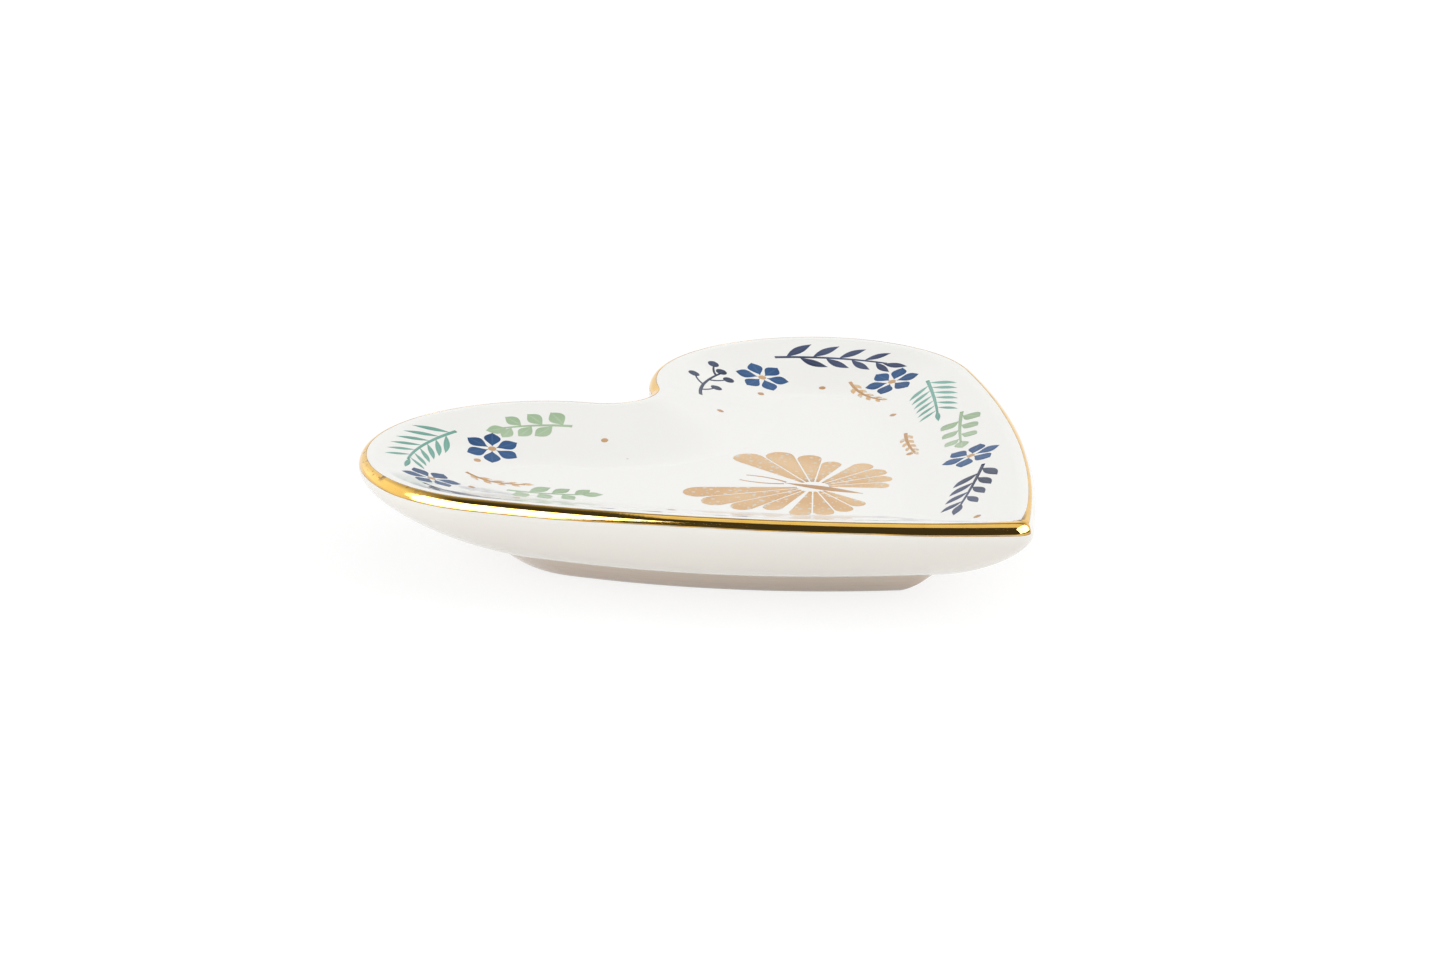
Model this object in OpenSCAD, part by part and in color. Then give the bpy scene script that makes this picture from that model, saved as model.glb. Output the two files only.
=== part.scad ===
// Heart-shaped porcelain trinket dish with a painted gold lip and a floral transfer in its well.
// The heart lies along Y, its tip towards -Y, and the dish stands on z = 0.

/* [Overall size] */
// Width across the two lobes
dish_w = 120; // [114:1:126]
// Length from the tip to the far edge of the lobes
dish_l = 109; // [102:1:118]
// Height from the table to the crest of the lip
dish_h = 17.7; // [16.5:0.1:22]

/* [Heart outline] */
// Radius of each lobe
lobe_r = 28.9; // [27.5:0.1:31]
// Radius of the hollow curve between the lobes
notch_r = 7.5; // [5:0.5:11]
// Radius of the long curve down each side
side_r = 236; // [190:2:300]
// Radius of the tip
tip_r = 3; // [2:0.5:5]

/* [Lip] */
// Distance from the outer edge in to the crest
crest_inset = 1.6; // [1.3:0.1:2.2]
// Height of the crest above the widest line of the edge
crest_rise = 2.1; // [1.6:0.1:2.8]
// Distance from the outer edge in to the foot of the lip
lip_w = 3.2; // [2.7:0.1:4.2]

/* [Well] */
// Depth from the crest to the floor
well_depth = 5.4; // [5:0.1:7]
// Distance from the outer edge in to the flat floor
well_reach = 21.5; // [18:0.5:23]
// Fall of the wall: 1 is a straight slope, 2 is a full curve
well_curve = 1.35; // [1.15:0.05:2]

/* [Bulge of the outside] */
// Drop of the edge before it turns in
belly_fall = 3.2; // [2:0.1:4.5]
// Length of the shallow sweep that meets the foot ring
belly_sweep = 4.6; // [3:0.1:6]
// Rise of that sweep, in degrees
belly_angle = 28; // [20:1:35]

/* [Foot ring] */
// Height of the foot ring
foot_h = 5; // [4.4:0.1:6]
// Width of the foot ring where it leaves the bulge
foot_w = 86; // [82:0.5:88]
// Length of the foot ring where it leaves the bulge
foot_l = 75.5; // [72:0.5:79]
// Distance from the far edge of the dish to the foot ring
foot_back = 14; // [12:0.1:16]
// Radius of each lobe of the foot ring
foot_lobe_r = 21; // [20.4:0.1:22.5]
// Radius of the hollow curve in the foot ring's notch
foot_notch_r = 4; // [3:0.5:7]
// Radius of the long curve down each side of the foot ring
foot_side_r = 123; // [105:1:150]
// Radius of the foot ring's tip
foot_tip_r = 3.3; // [2.5:0.1:5]
// Distance that the foot ring's side slopes in on its way down
foot_slope = 6.6; // [5:0.1:8]
// Rounding of the foot ring's lower edge
foot_round = 1; // [0.5:0.1:2]
// Width of the flat land that stands on the table
land_w = 3.4; // [2.5:0.1:4.5]
// Depth of the recess inside the foot ring
recess_depth = 3.8; // [2:0.1:3.9]

/* [Gold line] */
// Drop of the gold line's lower edge below the crest
gold_drop = 1.2; // [0.7:0.1:1.5]
// Distance from the outer edge in to the gold line's inner edge
gold_inset = 1.5; // [1:0.1:2.4]
// Thickness of the gold and of the transfers
film_t = 0.12; // [0.08:0.01:0.2]

/* [Transfers] */
// Span of the butterfly's wings
butterfly_w = 38; // [30:1:42]
// Distance of the butterfly from the far edge of the lobes
butterfly_back = 61.5; // [58:0.5:66]
// Turn of the butterfly from the dish's axis
butterfly_turn = 24; // [-40:1:40]
// Length of a spray's leaf
leaf_l = 6.2; // [4.5:0.1:7.5]
// Width of a spray's leaf
leaf_w = 1.9; // [1.2:0.1:2.6]
// Width of a stem
stem_w = 0.6; // [0.35:0.05:0.8]
// Diameter of a blossom
blossom_d = 9.5; // [7:0.5:12]
// Diameter of a berry, a bud and a large speck
berry_d = 2; // [1.4:0.1:2.6]

/* [Hidden] */

// Steps of each arc of half an outline, and of each stretch of the section
NOTCH_STEPS = 4;
LOBE_STEPS = 22;
SIDE_STEPS = 11;
TIP_STEPS = 5;
WELL_STEPS = 8;
LIP_STEPS = 3;
GOLD_STEPS = 3;
EDGE_STEPS = 2;
BELLY_STEPS = 7;
FOOT_STEPS = 4;
LEAF_STEPS = 4;
STEM_STEPS = 7;
// The tip's radius grows by this share of the distance from the outer edge
TIP_SOFTENS = 0.14;
// Gap under a transfer, so that it lies on the glaze and not in it
LIFT = 0.02;
CREST_Z = dish_h;

function mix(a, b, t) = a + (b - a) * t;
function unit(a) = [cos(a), sin(a)];
function heading(v) = atan2(v.y, v.x);
function bezier(p, t) =
    len(p) == 1 ? p[0] : bezier([for (i = [1:len(p) - 1]) mix(p[i - 1], p[i], t)], t);

// ---- Heart outlines ----
// A heart is four arcs a side, each tangent to the next: notch, lobe, side and tip. Lobes that lie
// further apart than the notch's arc can span are joined to it by a straight run.

// The crossing of two circles that lies to the left of the line from a to b
function circles_cross(a, ra, b, rb) =
    let (l = norm(b - a), x = (ra * ra - rb * rb + l * l) / (2 * l), u = (b - a) / l)
    a + u * x + [u.y, -u.x] * sqrt(ra * ra - x * x);

// A heart's right half: the centres of notch, lobe and side, the four radii, and the direction in
// which the notch's arc ends
function heart(w, l, back_y, lobe, notch, side, tip) =
    let (lobe_c = [w / 2 - lobe, back_y - lobe],
         notch_c = [0, lobe_c.y + sqrt(max(pow(lobe + notch, 2) - pow(lobe_c.x, 2), 0))],
         tip_c = [0, back_y - l + tip], side_c = circles_cross(lobe_c, side - lobe, tip_c, side - tip),
         way = lobe_c - notch_c, end = heading(way) - acos(min((lobe + notch) / norm(way), 1)))
    [notch_c, lobe_c, side_c, notch, lobe, side, tip, end];

function tip_radius(h, d) = max(h[6] - d, 0) + TIP_SOFTENS * d;
function tip_centre(h, d) =
    [0, h[2].y - sqrt(pow(h[5] - d - tip_radius(h, d), 2) - pow(h[2].x, 2))];

// Directions at which the arcs meet: notch to lobe, lobe to side, side to tip
function notch_end(h) = h[7];
function lobe_end(h) = heading(h[1] - h[2]);
// The lobe's first point stands half a step past the joint, which has a point of its own
function lobe_start(h) = mix(notch_end(h) + 180, lobe_end(h), 0.5 / LOBE_STEPS);
function side_end(h, d) = heading(tip_centre(h, d) - h[2]);

function arc_points(c, r, from, to, steps) =
    [for (i = [0:steps - 1]) c + r * unit(mix(from, to, i / steps))];

// Right half of the outline at inset d, from the notch to the tip, both on the axis
function half_ring(h, d) = concat(
    arc_points(h[0], h[3] + d, -90, notch_end(h), NOTCH_STEPS),
    [h[0] + (h[3] + d) * unit(notch_end(h))],
    arc_points(h[1], h[4] - d, lobe_start(h), lobe_end(h), LOBE_STEPS),
    arc_points(h[2], h[5] - d, lobe_end(h), side_end(h, d), SIDE_STEPS),
    arc_points(tip_centre(h, d), tip_radius(h, d), side_end(h, d), -90, TIP_STEPS),
    [tip_centre(h, d) - [0, tip_radius(h, d)]]);

function ring(h, d) =
    let (half = half_ring(h, d))
    concat(half, [for (i = [len(half) - 2:-1:1]) [-half[i].x, half[i].y]]);

function ring_at(h, d, z) = [for (p = ring(h, d)) [p.x, p.y, z]];

DISH = heart(dish_w, dish_l, dish_l / 2, lobe_r, notch_r, side_r, tip_r);
FOOT = heart(foot_w, foot_l, dish_l / 2 - foot_back, foot_lobe_r, foot_notch_r, foot_side_r, foot_tip_r);

// ---- The section of the dish, as [inset, height] ----

// Slope at which the wall of the well leaves the lip
WALL_SLOPE = well_curve * well_depth
    / (well_reach - lip_w + well_curve * (lip_w - crest_inset) / 2);
LIP_FALL = WALL_SLOPE * (lip_w - crest_inset) / 2;

// Height of the upper surface at inset d: rounded edge, lip, wall of the well, floor
function top_z(d) = CREST_Z - (
    d < crest_inset ? crest_rise * (1 - sqrt(1 - pow(1 - d / crest_inset, 2)))
    : d < lip_w ? LIP_FALL * pow((d - crest_inset) / (lip_w - crest_inset), 2)
    : d < well_reach
        ? well_depth - (well_depth - LIP_FALL) * pow((well_reach - d) / (well_reach - lip_w), well_curve)
    : well_depth);

function on_top(d) = [d, top_z(d)];

// Insets of the gold line's edges, and of the rings between them
GOLD_OUT = crest_inset * (1 - sqrt(1 - pow(1 - gold_drop / crest_rise, 2)));
GOLD_INSETS = [for (i = [GOLD_STEPS:-1:0]) mix(GOLD_OUT, gold_inset, pow(i / GOLD_STEPS, 1.5))];

// The rest of the lip, from the foot of the lip to the gold's inner edge, and from its outer edge down
LIP_INSETS = [for (i = [0:LIP_STEPS - 1]) mix(lip_w, gold_inset, i / LIP_STEPS)];
EDGE_INSETS = [for (i = [1:EDGE_STEPS]) GOLD_OUT * pow(1 - i / EDGE_STEPS, 2)];

FOOT_SIDE = [[0, foot_h], [foot_slope - foot_round, 0], [foot_slope, 0]];

DISH_SECTION = concat(
    [for (i = [0:WELL_STEPS - 1]) on_top(mix(well_reach, lip_w, pow(i / WELL_STEPS, 1.2)))],
    [for (d = LIP_INSETS) on_top(d)],
    [for (d = GOLD_INSETS) on_top(d)],
    [for (d = EDGE_INSETS) on_top(d)]);

FOOT_SECTION = [for (i = [0:FOOT_STEPS]) bezier(FOOT_SIDE, i / FOOT_STEPS)];

// The bulge sweeps from each point of the edge to its partner on the foot ring
EDGE_RING = ring_at(DISH, 0, top_z(0));
FOOT_RING = ring_at(FOOT, 0, foot_h);
function belly_ring(t) =
    [for (i = [0:len(EDGE_RING) - 1])
        let (edge = EDGE_RING[i], foot = FOOT_RING[i], out = cos(belly_angle) * unit(heading(edge - foot)),
             sweep = belly_sweep * [out.x, out.y, sin(belly_angle)])
        bezier([edge, edge - [0, 0, belly_fall], foot + sweep, foot], t)];

// ---- Lofts through rings of equal count ----

function flat(lists) = [for (l = lists) each l];

// Two triangles for each step round, between ring a and ring b
function band(a, b, n) =
    [for (i = [0:n - 1]) let (j = (i + 1) % n) each [
        [a * n + i, b * n + i, b * n + j],
        [a * n + i, b * n + j, a * n + j],
    ]];

// A point on the axis that sees the whole of a heart's ring, so it lies nearer to the tip
function ring_middle(r) = mix(r[0], r[len(r) / 2], 0.7);

// A skin from the first ring to the last, closed at both by a flat cap
module capped_loft(rings) {
    n = len(rings[0]);
    m = len(rings);
    first_mid = n * m;
    polyhedron(
        points = concat(flat(rings), [ring_middle(rings[0]), ring_middle(rings[m - 1])]),
        faces = concat(
            [for (i = [0:n - 1]) [first_mid, i, (i + 1) % n]],
            [for (k = [0:m - 2]) each band(k, k + 1, n)],
            [for (i = [0:n - 1]) [first_mid + 1, (m - 1) * n + (i + 1) % n, (m - 1) * n + i]]));
}

// A hoop: the last ring joins the first
module hoop_loft(rings) {
    m = len(rings);
    polyhedron(
        points = flat(rings),
        faces = [for (k = [0:m - 1]) each band(k, (k + 1) % m, len(rings[0]))]);
}

// ---- Laying a flat shape in the well ----

function cross_z(a, b) = a.x * b.y - a.y * b.x;

// Is the point inside the heart's outline at inset d?
function inside(h, p, d) =
    let (q = [abs(p.x), p.y], tip = tip_centre(h, d), out = unit(notch_end(h)),
         at_notch = q.x < h[1].x && q.y < h[0].y && cross_z(out, q - h[0]) < 0,
         at_run = q.x < h[1].x && !at_notch && cross_z(out, q - h[1]) < 0,
         at_lobe = !at_notch && !at_run && cross_z(h[1] - h[2], q - h[2]) > 0,
         at_tip = q.y < tip.y && cross_z(tip - h[2], q - tip) < 0)
    norm(q - h[2]) < h[5] - d
    && (!at_notch || norm(q - h[0]) > h[3] + d)
    && (!at_run || (q - h[0]) * out > h[3] + d)
    && (!at_lobe || norm(q - h[1]) < h[4] - d)
    && (!at_tip || norm(q - tip) < tip_radius(h, d));

// Inset of a point of the well, by halving the interval that holds it
function inset_of(p, lo = 0, hi = well_reach, rounds = 12) =
    rounds == 0 ? (lo + hi) / 2
    : let (mid = (lo + hi) / 2)
      inside(DISH, p, mid) ? inset_of(p, mid, hi, rounds - 1) : inset_of(p, lo, mid, rounds - 1);

// Lengths of the outer edge's arcs from the notch on, and the share of the way where each ends
RIM_ARCS = [
    DISH[3] * (notch_end(DISH) + 90),
    DISH[4] * (notch_end(DISH) + 180 - lobe_end(DISH)),
    DISH[5] * (lobe_end(DISH) - side_end(DISH, 0)),
];
RIM_TOTAL = RIM_ARCS[0] + RIM_ARCS[1] + RIM_ARCS[2];

// A place on the right half: [point, inward heading] at a share of the way from notch to tip
function rim_place(share, inset) =
    let (s = share * RIM_TOTAL, s1 = s - RIM_ARCS[0], s2 = s1 - RIM_ARCS[1])
    s1 < 0 ? let (a = -90 + s / DISH[3]) [DISH[0] + (DISH[3] + inset) * unit(a), a]
    : s2 < 0 ? let (a = notch_end(DISH) + 180 - s1 / DISH[4])
        [DISH[1] + (DISH[4] - inset) * unit(a), a + 180]
    : let (a = lobe_end(DISH) - s2 / DISH[5]) [DISH[2] + (DISH[5] - inset) * unit(a), a + 180];

// A stroke is a list of [x, y, half width] along its middle. Its frame has x along the rim, towards
// the tip, and y inward. PLACE is [side, share, inset, turn]: side is 1 on the right and -1 on the left.
function turned(p, a) = [p.x * cos(a) - p.y * sin(a), p.x * sin(a) + p.y * cos(a)];

function lay(stroke, place) =
    let (spot = rim_place(place[1], place[2]), side = place[0])
    [for (n = stroke)
        let (q = turned([n.x, n.y], place[3]),
             p = spot[0] + q.x * unit(spot[1] + 90) + q.y * unit(spot[1]))
        [side * p.x, p.y, n.z]];

// The edges of a stroke, as pairs [left, right]
function edges(stroke) =
    let (last = len(stroke) - 1)
    [for (i = [0:last])
        let (a = stroke[max(i - 1, 0)], b = stroke[min(i + 1, last)],
             across = turned(unit(heading(b - a)), 90) * stroke[i].z, p = [stroke[i].x, stroke[i].y])
        [p + across, p - across]];

function on_glaze(p, up) = [p.x, p.y, top_z(inset_of(p)) + LIFT + up];

// Four points for each step of a stroke: left and right below, left and right above
function film_points(stroke) =
    [for (e = edges(stroke), up = [0, film_t], p = e) on_glaze(p, up)];

function quad(a, b, c, d) = [[a, b, c], [a, c, d]];

function film_faces(steps, o) = concat(
    quad(o, o + 2, o + 3, o + 1),
    [for (k = [0:steps - 1]) let (a = o + 4 * k, b = a + 4) each concat(
        quad(a + 2, b + 2, b + 3, a + 3),
        quad(a, a + 1, b + 1, b),
        quad(a, b, b + 2, a + 2),
        quad(a + 1, a + 3, b + 3, b + 1))],
    let (e = o + 4 * steps) quad(e, e + 1, e + 3, e + 2));

function starts(strokes, i = 0, at = 0) =
    i == len(strokes) ? [] : concat([at], starts(strokes, i + 1, at + 4 * len(strokes[i])));

// Thin separate solids, one for each stroke, that follow the glaze under them
module film(strokes) {
    first = starts(strokes);
    polyhedron(
        points = flat([for (s = strokes) film_points(s)]),
        faces = flat([for (i = [0:len(strokes) - 1]) film_faces(len(strokes[i]) - 1, first[i])]));
}

// ---- Strokes of the transfers, each drawn from its root at the origin towards +X ----

// A point of an arc of length l that turns by bend, at share s of the way: [x, y, heading]
function arc_at(l, bend, s) =
    abs(bend) < 0.01 ? [l * s, 0, 0]
    : let (r = l * 180 / (PI * bend)) [r * sin(bend * s), r * (1 - cos(bend * s)), bend * s];

// The same stroke on the other side of the X axis, where side is -1
function mirrored(stroke, side) = [for (n = stroke) [n.x, side * n.y, n.z]];

// The same stroke moved to [x, y, heading]
function moved(stroke, to) =
    [for (n = stroke) let (q = turned([n.x, n.y], to.z)) [q.x + to.x, q.y + to.y, n.z]];

function stem(l, bend, w = stem_w) =
    [for (i = [0:STEM_STEPS]) let (a = arc_at(l, bend, i / STEM_STEPS))
        [a.x, a.y, w / 2 * mix(1, 0.6, i / STEM_STEPS)]];

// A pointed leaf or petal: widest at share `belly` of its length
function leaf(l, w, bend = 0, belly = 0.5) =
    [for (i = [0:LEAF_STEPS])
        let (s = i / LEAF_STEPS, a = arc_at(l, bend, s), t = pow(s, ln(0.5) / ln(belly)))
        [a.x, a.y, max(w / 2 * sin(180 * t), w * 0.05)]];

// A round dot with its middle at the origin
function dot(d) =
    [for (i = [0:LEAF_STEPS]) let (a = 160 * (i / LEAF_STEPS - 0.5)) [d / 2 * sin(a), 0, d / 2 * cos(a)]];

// A stem with leaves in pairs and one at its end. Each leaf stands off the stem by a stem's width.
function spray(l, bend, pairs, open, leaf_size, belly = 0.5) = concat(
    [stem(l, bend)],
    [for (i = [0:pairs - 1], side = [-1, 1])
        let (s = (i + 0.7 + 0.25 * side) / (pairs + 0.4), a = arc_at(l, bend, s),
             shrink = mix(1, 0.72, s), off = turned([0, side * stem_w], a.z))
        moved(leaf(leaf_size[0] * shrink, leaf_size[1] * shrink, -side * 14, belly),
            [a.x + off.x, a.y + off.y, a.z + side * open])],
    [let (a = arc_at(l + stem_w, bend, 1)) moved(leaf(leaf_size[0] * 0.8, leaf_size[1] * 0.8), a)]);

// A stem with berries on short curved stalks, at alternate sides
function berry_stem(l, bend, count) = concat(
    [stem(l, bend)],
    [for (i = [0:count - 1])
        let (side = i % 2 == 0 ? 1 : -1, a = arc_at(l, bend, mix(0.25, 0.9, i / (count - 1))),
             off = turned([0, side * stem_w], a.z), root = [a.x + off.x, a.y + off.y, a.z + side * 52],
             end = arc_at(STALK_L + berry_d / 2 + LIFT, -side * 30, 1))
        each [moved(stem(STALK_L, -side * 30, stem_w * 0.8), root), moved(moved(dot(berry_d), end), root)]],
    [let (a = arc_at(l + berry_d / 2 + LIFT, bend, 1)) moved(dot(berry_d), a)]);

// Pointed petals round an open middle
function blossom(d, petals) =
    [for (i = [0:petals - 1])
        let (a = 360 * i / petals, r = berry_d * 0.42)
        moved(leaf(d / 2 - r, d * 0.3, 0, 0.58), [r * cos(a), r * sin(a), a])];

// A cell of a wing: it opens evenly from its root and ends in a round edge
function cell(root, reach, opening) =
    [for (s = [0, 0.4, 0.72, 0.9, 1])
        let (r = mix(root, reach, s), end = sqrt(max(1 - pow(max(s - 0.7, 0) / 0.32, 2), 0)))
        [r, 0, r * tan(opening / 2) * end * 0.9]];

// One wing of the butterfly in cells that fan out from the body, the first one the longest
function wing(reach, cells, from, to, shrink) =
    [for (i = [0:cells - 1])
        let (opening = (to - from) / cells, a = from + opening * (i + 0.5))
        moved(cell(butterfly_w * 0.07, reach * mix(1, shrink, pow(i / (cells - 1), 1.4)), opening),
            [0, 0, a])];

// Head towards +X: upper and lower wings, feelers and body
function butterfly(w) = concat(
    [for (side = [-1, 1]) each concat(
        [for (c = wing(w * 0.56, 4, 24, 90, 0.66)) mirrored(c, side)],
        [for (c = wing(w * 0.41, 4, 96, 160, 0.8)) mirrored(c, side)],
        [mirrored(moved(stem(w * 0.2, -34, stem_w * 0.7), [w * 0.13, w * 0.012, 24]), side)])],
    [moved(leaf(w * 0.36, w * 0.05), [-w * 0.23, 0, 0])]);

// ---- Where the transfers lie: [side, share, inset, turn] and the spray's own sizes ----

NAVY_PLACES = [
    [[1, 0.27, 7.5, 6], 21, 46], [[-1, 0.435, 7.5, 10], 20, 34], [[1, 0.81, 7.5, 14], 18, 4],
];
BERRY_PLACES = [[[1, 0.055, 9, 0], 14, 40], [[-1, 0.60, 8, 16], 17, -10]];
BLOSSOM_PLACES = [
    [-1, 0.18, 14, 0], [-1, 0.395, 11, 20], [-1, 0.755, 10, 10],
    [1, 0.225, 13, 40], [1, 0.475, 12, 0], [1, 0.775, 9, 25],
];
SAGE_PLACES = [[[-1, 0.05, 8.5, 0], 12, 36], [[1, 0.645, 7, 16], 15, -8], [[-1, 0.47, 22, 20], 13, 20]];
FROND_PLACES = [[[-1, 0.205, 7.5, 4], 17, 40], [[1, 0.525, 8, 10], 17, 6], [[-1, 0.79, 7.5, 16], 18, -4]];
EAR_PLACES = [[[1, 0.40, 15, 48], 11, -30], [[-1, 0.31, 17, 60], 11, 30], [[1, 0.655, 17, 10], 11, -16]];
SPECK_PLACES = [
    [-1, 0.03, 12], [1, 0.03, 12], [-1, 0.235, 16], [1, 0.17, 17.5], [1, 0.345, 18], [-1, 0.42, 17],
    [-1, 0.54, 17], [1, 0.59, 17], [-1, 0.69, 18.5], [1, 0.72, 18], [-1, 0.94, 7], [1, 0.955, 9],
];
SAGE_LEAF = [4.4, 3];
FROND_LEAF = [6.4, 1.1];
GRAIN = [2.6, 1];
STALK_L = 3.4;
NAVY_PAIRS = 4;
FROND_PAIRS = 6;
SAGE_PAIRS = 3;
GRAIN_PAIRS = 4;
BERRY_COUNT = 4;
BLOSSOM_PETALS = 6;
SPECK_D = berry_d * 0.6;

function laid(strokes, place) = [for (s = strokes) lay(s, place)];

// The butterfly's own place, on the dish's axis
function on_axis(strokes) =
    [for (s = strokes) moved(s, [0, dish_l / 2 - butterfly_back, 90 + butterfly_turn])];

// ---- Sub-parts ----

// Body and foot ring in one casting, with the recess that the mould leaves under it
module porcelain_dish() {
    color("white") difference() {
        capped_loft(concat(
            [for (p = DISH_SECTION) ring_at(DISH, p[0], p[1])],
            [for (i = [1:BELLY_STEPS - 1]) belly_ring(i / BELLY_STEPS)],
            [for (p = FOOT_SECTION) ring_at(FOOT, p[0], p[1])]));
        translate([0, 0, -1])
            linear_extrude(recess_depth + 1)
                polygon(ring(FOOT, foot_slope + land_w));
    }
}

// The painted band follows the lip's own rings and stands film_t off them
module gold_rim() {
    step = 0.01;
    under = [for (d = GOLD_INSETS) on_top(d)];
    over = [for (d = GOLD_INSETS)
        let (along = on_top(d + step) - on_top(d), n = [-along.y, along.x] / norm(along))
        on_top(d) + film_t * n];
    backwards = [for (i = [len(under) - 1:-1:0]) under[i]];
    color("goldenrod") hoop_loft([for (p = concat(over, backwards)) ring_at(DISH, p[0], p[1])]);
}

module transfer_gold_butterfly() {
    color("burlywood") film(on_axis(butterfly(butterfly_w)));
}

module transfer_navy_sprigs() {
    color("midnightblue") film(concat(
        flat([for (p = NAVY_PLACES) laid(spray(p[1], p[2], NAVY_PAIRS, 40, [leaf_l, leaf_w]), p[0])]),
        flat([for (p = BERRY_PLACES) laid(berry_stem(p[1], p[2], BERRY_COUNT), p[0])])));
}

module transfer_blue_blossoms() {
    color("royalblue") film(flat([for (p = BLOSSOM_PLACES) laid(blossom(blossom_d, BLOSSOM_PETALS), p)]));
}

module transfer_sage_sprays() {
    color("darkseagreen") film(flat([for (p = SAGE_PLACES)
        laid(spray(p[1], p[2], SAGE_PAIRS, 55, SAGE_LEAF, 0.56), p[0])]));
}

module transfer_teal_fronds() {
    color("cadetblue") film(flat([for (p = FROND_PLACES)
        laid(spray(p[1], p[2], FROND_PAIRS, 48, FROND_LEAF), p[0])]));
}

module transfer_gold_accents() {
    color("burlywood") film(concat(
        flat([for (p = EAR_PLACES) laid(spray(p[1], p[2], GRAIN_PAIRS, 28, GRAIN), p[0])]),
        [for (p = BLOSSOM_PLACES) lay(dot(berry_d * 0.7), p)],
        [for (p = SPECK_PLACES) lay(dot(SPECK_D), [p[0], p[1], p[2], 0])]));
}

porcelain_dish();
gold_rim();
transfer_gold_butterfly();
transfer_navy_sprigs();
transfer_blue_blossoms();
transfer_sage_sprays();
transfer_teal_fronds();
transfer_gold_accents();
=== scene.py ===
"""The looks of a heart-shaped porcelain trinket dish: glaze, painted gold lip and fired transfers."""

import logging
import math
from dataclasses import dataclass, field
from enum import Enum
from typing import ClassVar

import bpy
import numpy as np
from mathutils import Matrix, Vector


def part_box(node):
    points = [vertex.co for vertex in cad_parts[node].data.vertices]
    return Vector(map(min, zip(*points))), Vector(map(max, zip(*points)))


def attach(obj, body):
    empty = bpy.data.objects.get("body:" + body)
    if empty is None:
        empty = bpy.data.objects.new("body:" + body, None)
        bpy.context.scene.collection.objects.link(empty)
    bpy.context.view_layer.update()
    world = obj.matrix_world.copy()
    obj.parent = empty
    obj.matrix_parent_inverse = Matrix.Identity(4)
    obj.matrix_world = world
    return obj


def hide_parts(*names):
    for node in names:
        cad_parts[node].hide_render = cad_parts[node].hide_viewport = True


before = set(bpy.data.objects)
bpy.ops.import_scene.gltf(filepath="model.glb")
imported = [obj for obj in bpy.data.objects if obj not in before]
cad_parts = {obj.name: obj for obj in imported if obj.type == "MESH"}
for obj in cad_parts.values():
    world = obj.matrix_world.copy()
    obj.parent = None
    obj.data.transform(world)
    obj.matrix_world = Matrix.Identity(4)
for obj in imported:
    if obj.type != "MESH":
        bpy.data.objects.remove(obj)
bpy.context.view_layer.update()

LOG = logging.getLogger("trinket_dish")
MM = 0.001
BODY = "root"
DISH_ARCS = {"lobe": 28.9, "notch": 7.5, "side": 236, "tip": 3}  # radii, in millimetres

Array = np.ndarray
Colour = tuple[float, float, float]
Paint = Colour | bpy.types.NodeSocket


# ---- Shader nodes ----


class Value:
    """A number that a node gives out. Expressions on it add Math nodes to its tree."""

    def __init__(self, tree: bpy.types.NodeTree, socket: bpy.types.NodeSocket) -> None:
        """Wraps a socket.

        Args:
            tree: The node tree that holds the socket.
            socket: An output socket with a number.
        """
        self.tree = tree
        self.socket = socket

    def maths(self, operation: str, *operands: "Value | float", clamp: bool = False) -> "Value":
        """Adds a Math node.

        Args:
            operation: The node's operation, such as "ADD".
            operands: Its inputs in order.
            clamp: Keeps the result from 0 to 1.

        Returns:
            The node's result.
        """
        node = self.tree.nodes.new("ShaderNodeMath")
        node.operation = operation
        node.use_clamp = clamp
        for socket, operand in zip(node.inputs, operands):
            if isinstance(operand, Value):
                self.tree.links.new(operand.socket, socket)
            else:
                socket.default_value = operand
        return Value(self.tree, node.outputs[0])

    def __add__(self, other: "Value | float") -> "Value":
        """Sum."""
        return self.maths("ADD", self, other)

    __radd__ = __add__

    def __sub__(self, other: "Value | float") -> "Value":
        """Difference."""
        return self.maths("SUBTRACT", self, other)

    def __rsub__(self, other: float) -> "Value":
        """Difference from a number."""
        return self.maths("SUBTRACT", other, self)

    def __mul__(self, other: "Value | float") -> "Value":
        """Product."""
        return self.maths("MULTIPLY", self, other)

    __rmul__ = __mul__

    def __abs__(self) -> "Value":
        """Size without the sign."""
        return self.maths("ABSOLUTE", self)

    def __lt__(self, other: "Value | float") -> "Value":
        """1 where this is the smaller, else 0."""
        return self.maths("LESS_THAN", self, other)

    def ramp(self, start: float, end: float) -> "Value":
        """A straight rise from 0 at start to 1 at end, where start may be the greater."""
        return self.maths("MULTIPLY", self - start, 1 / (end - start), clamp=True)

    def most(self, other: "Value | float") -> "Value":
        """The greater of two."""
        return self.maths("MAXIMUM", self, other)


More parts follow.
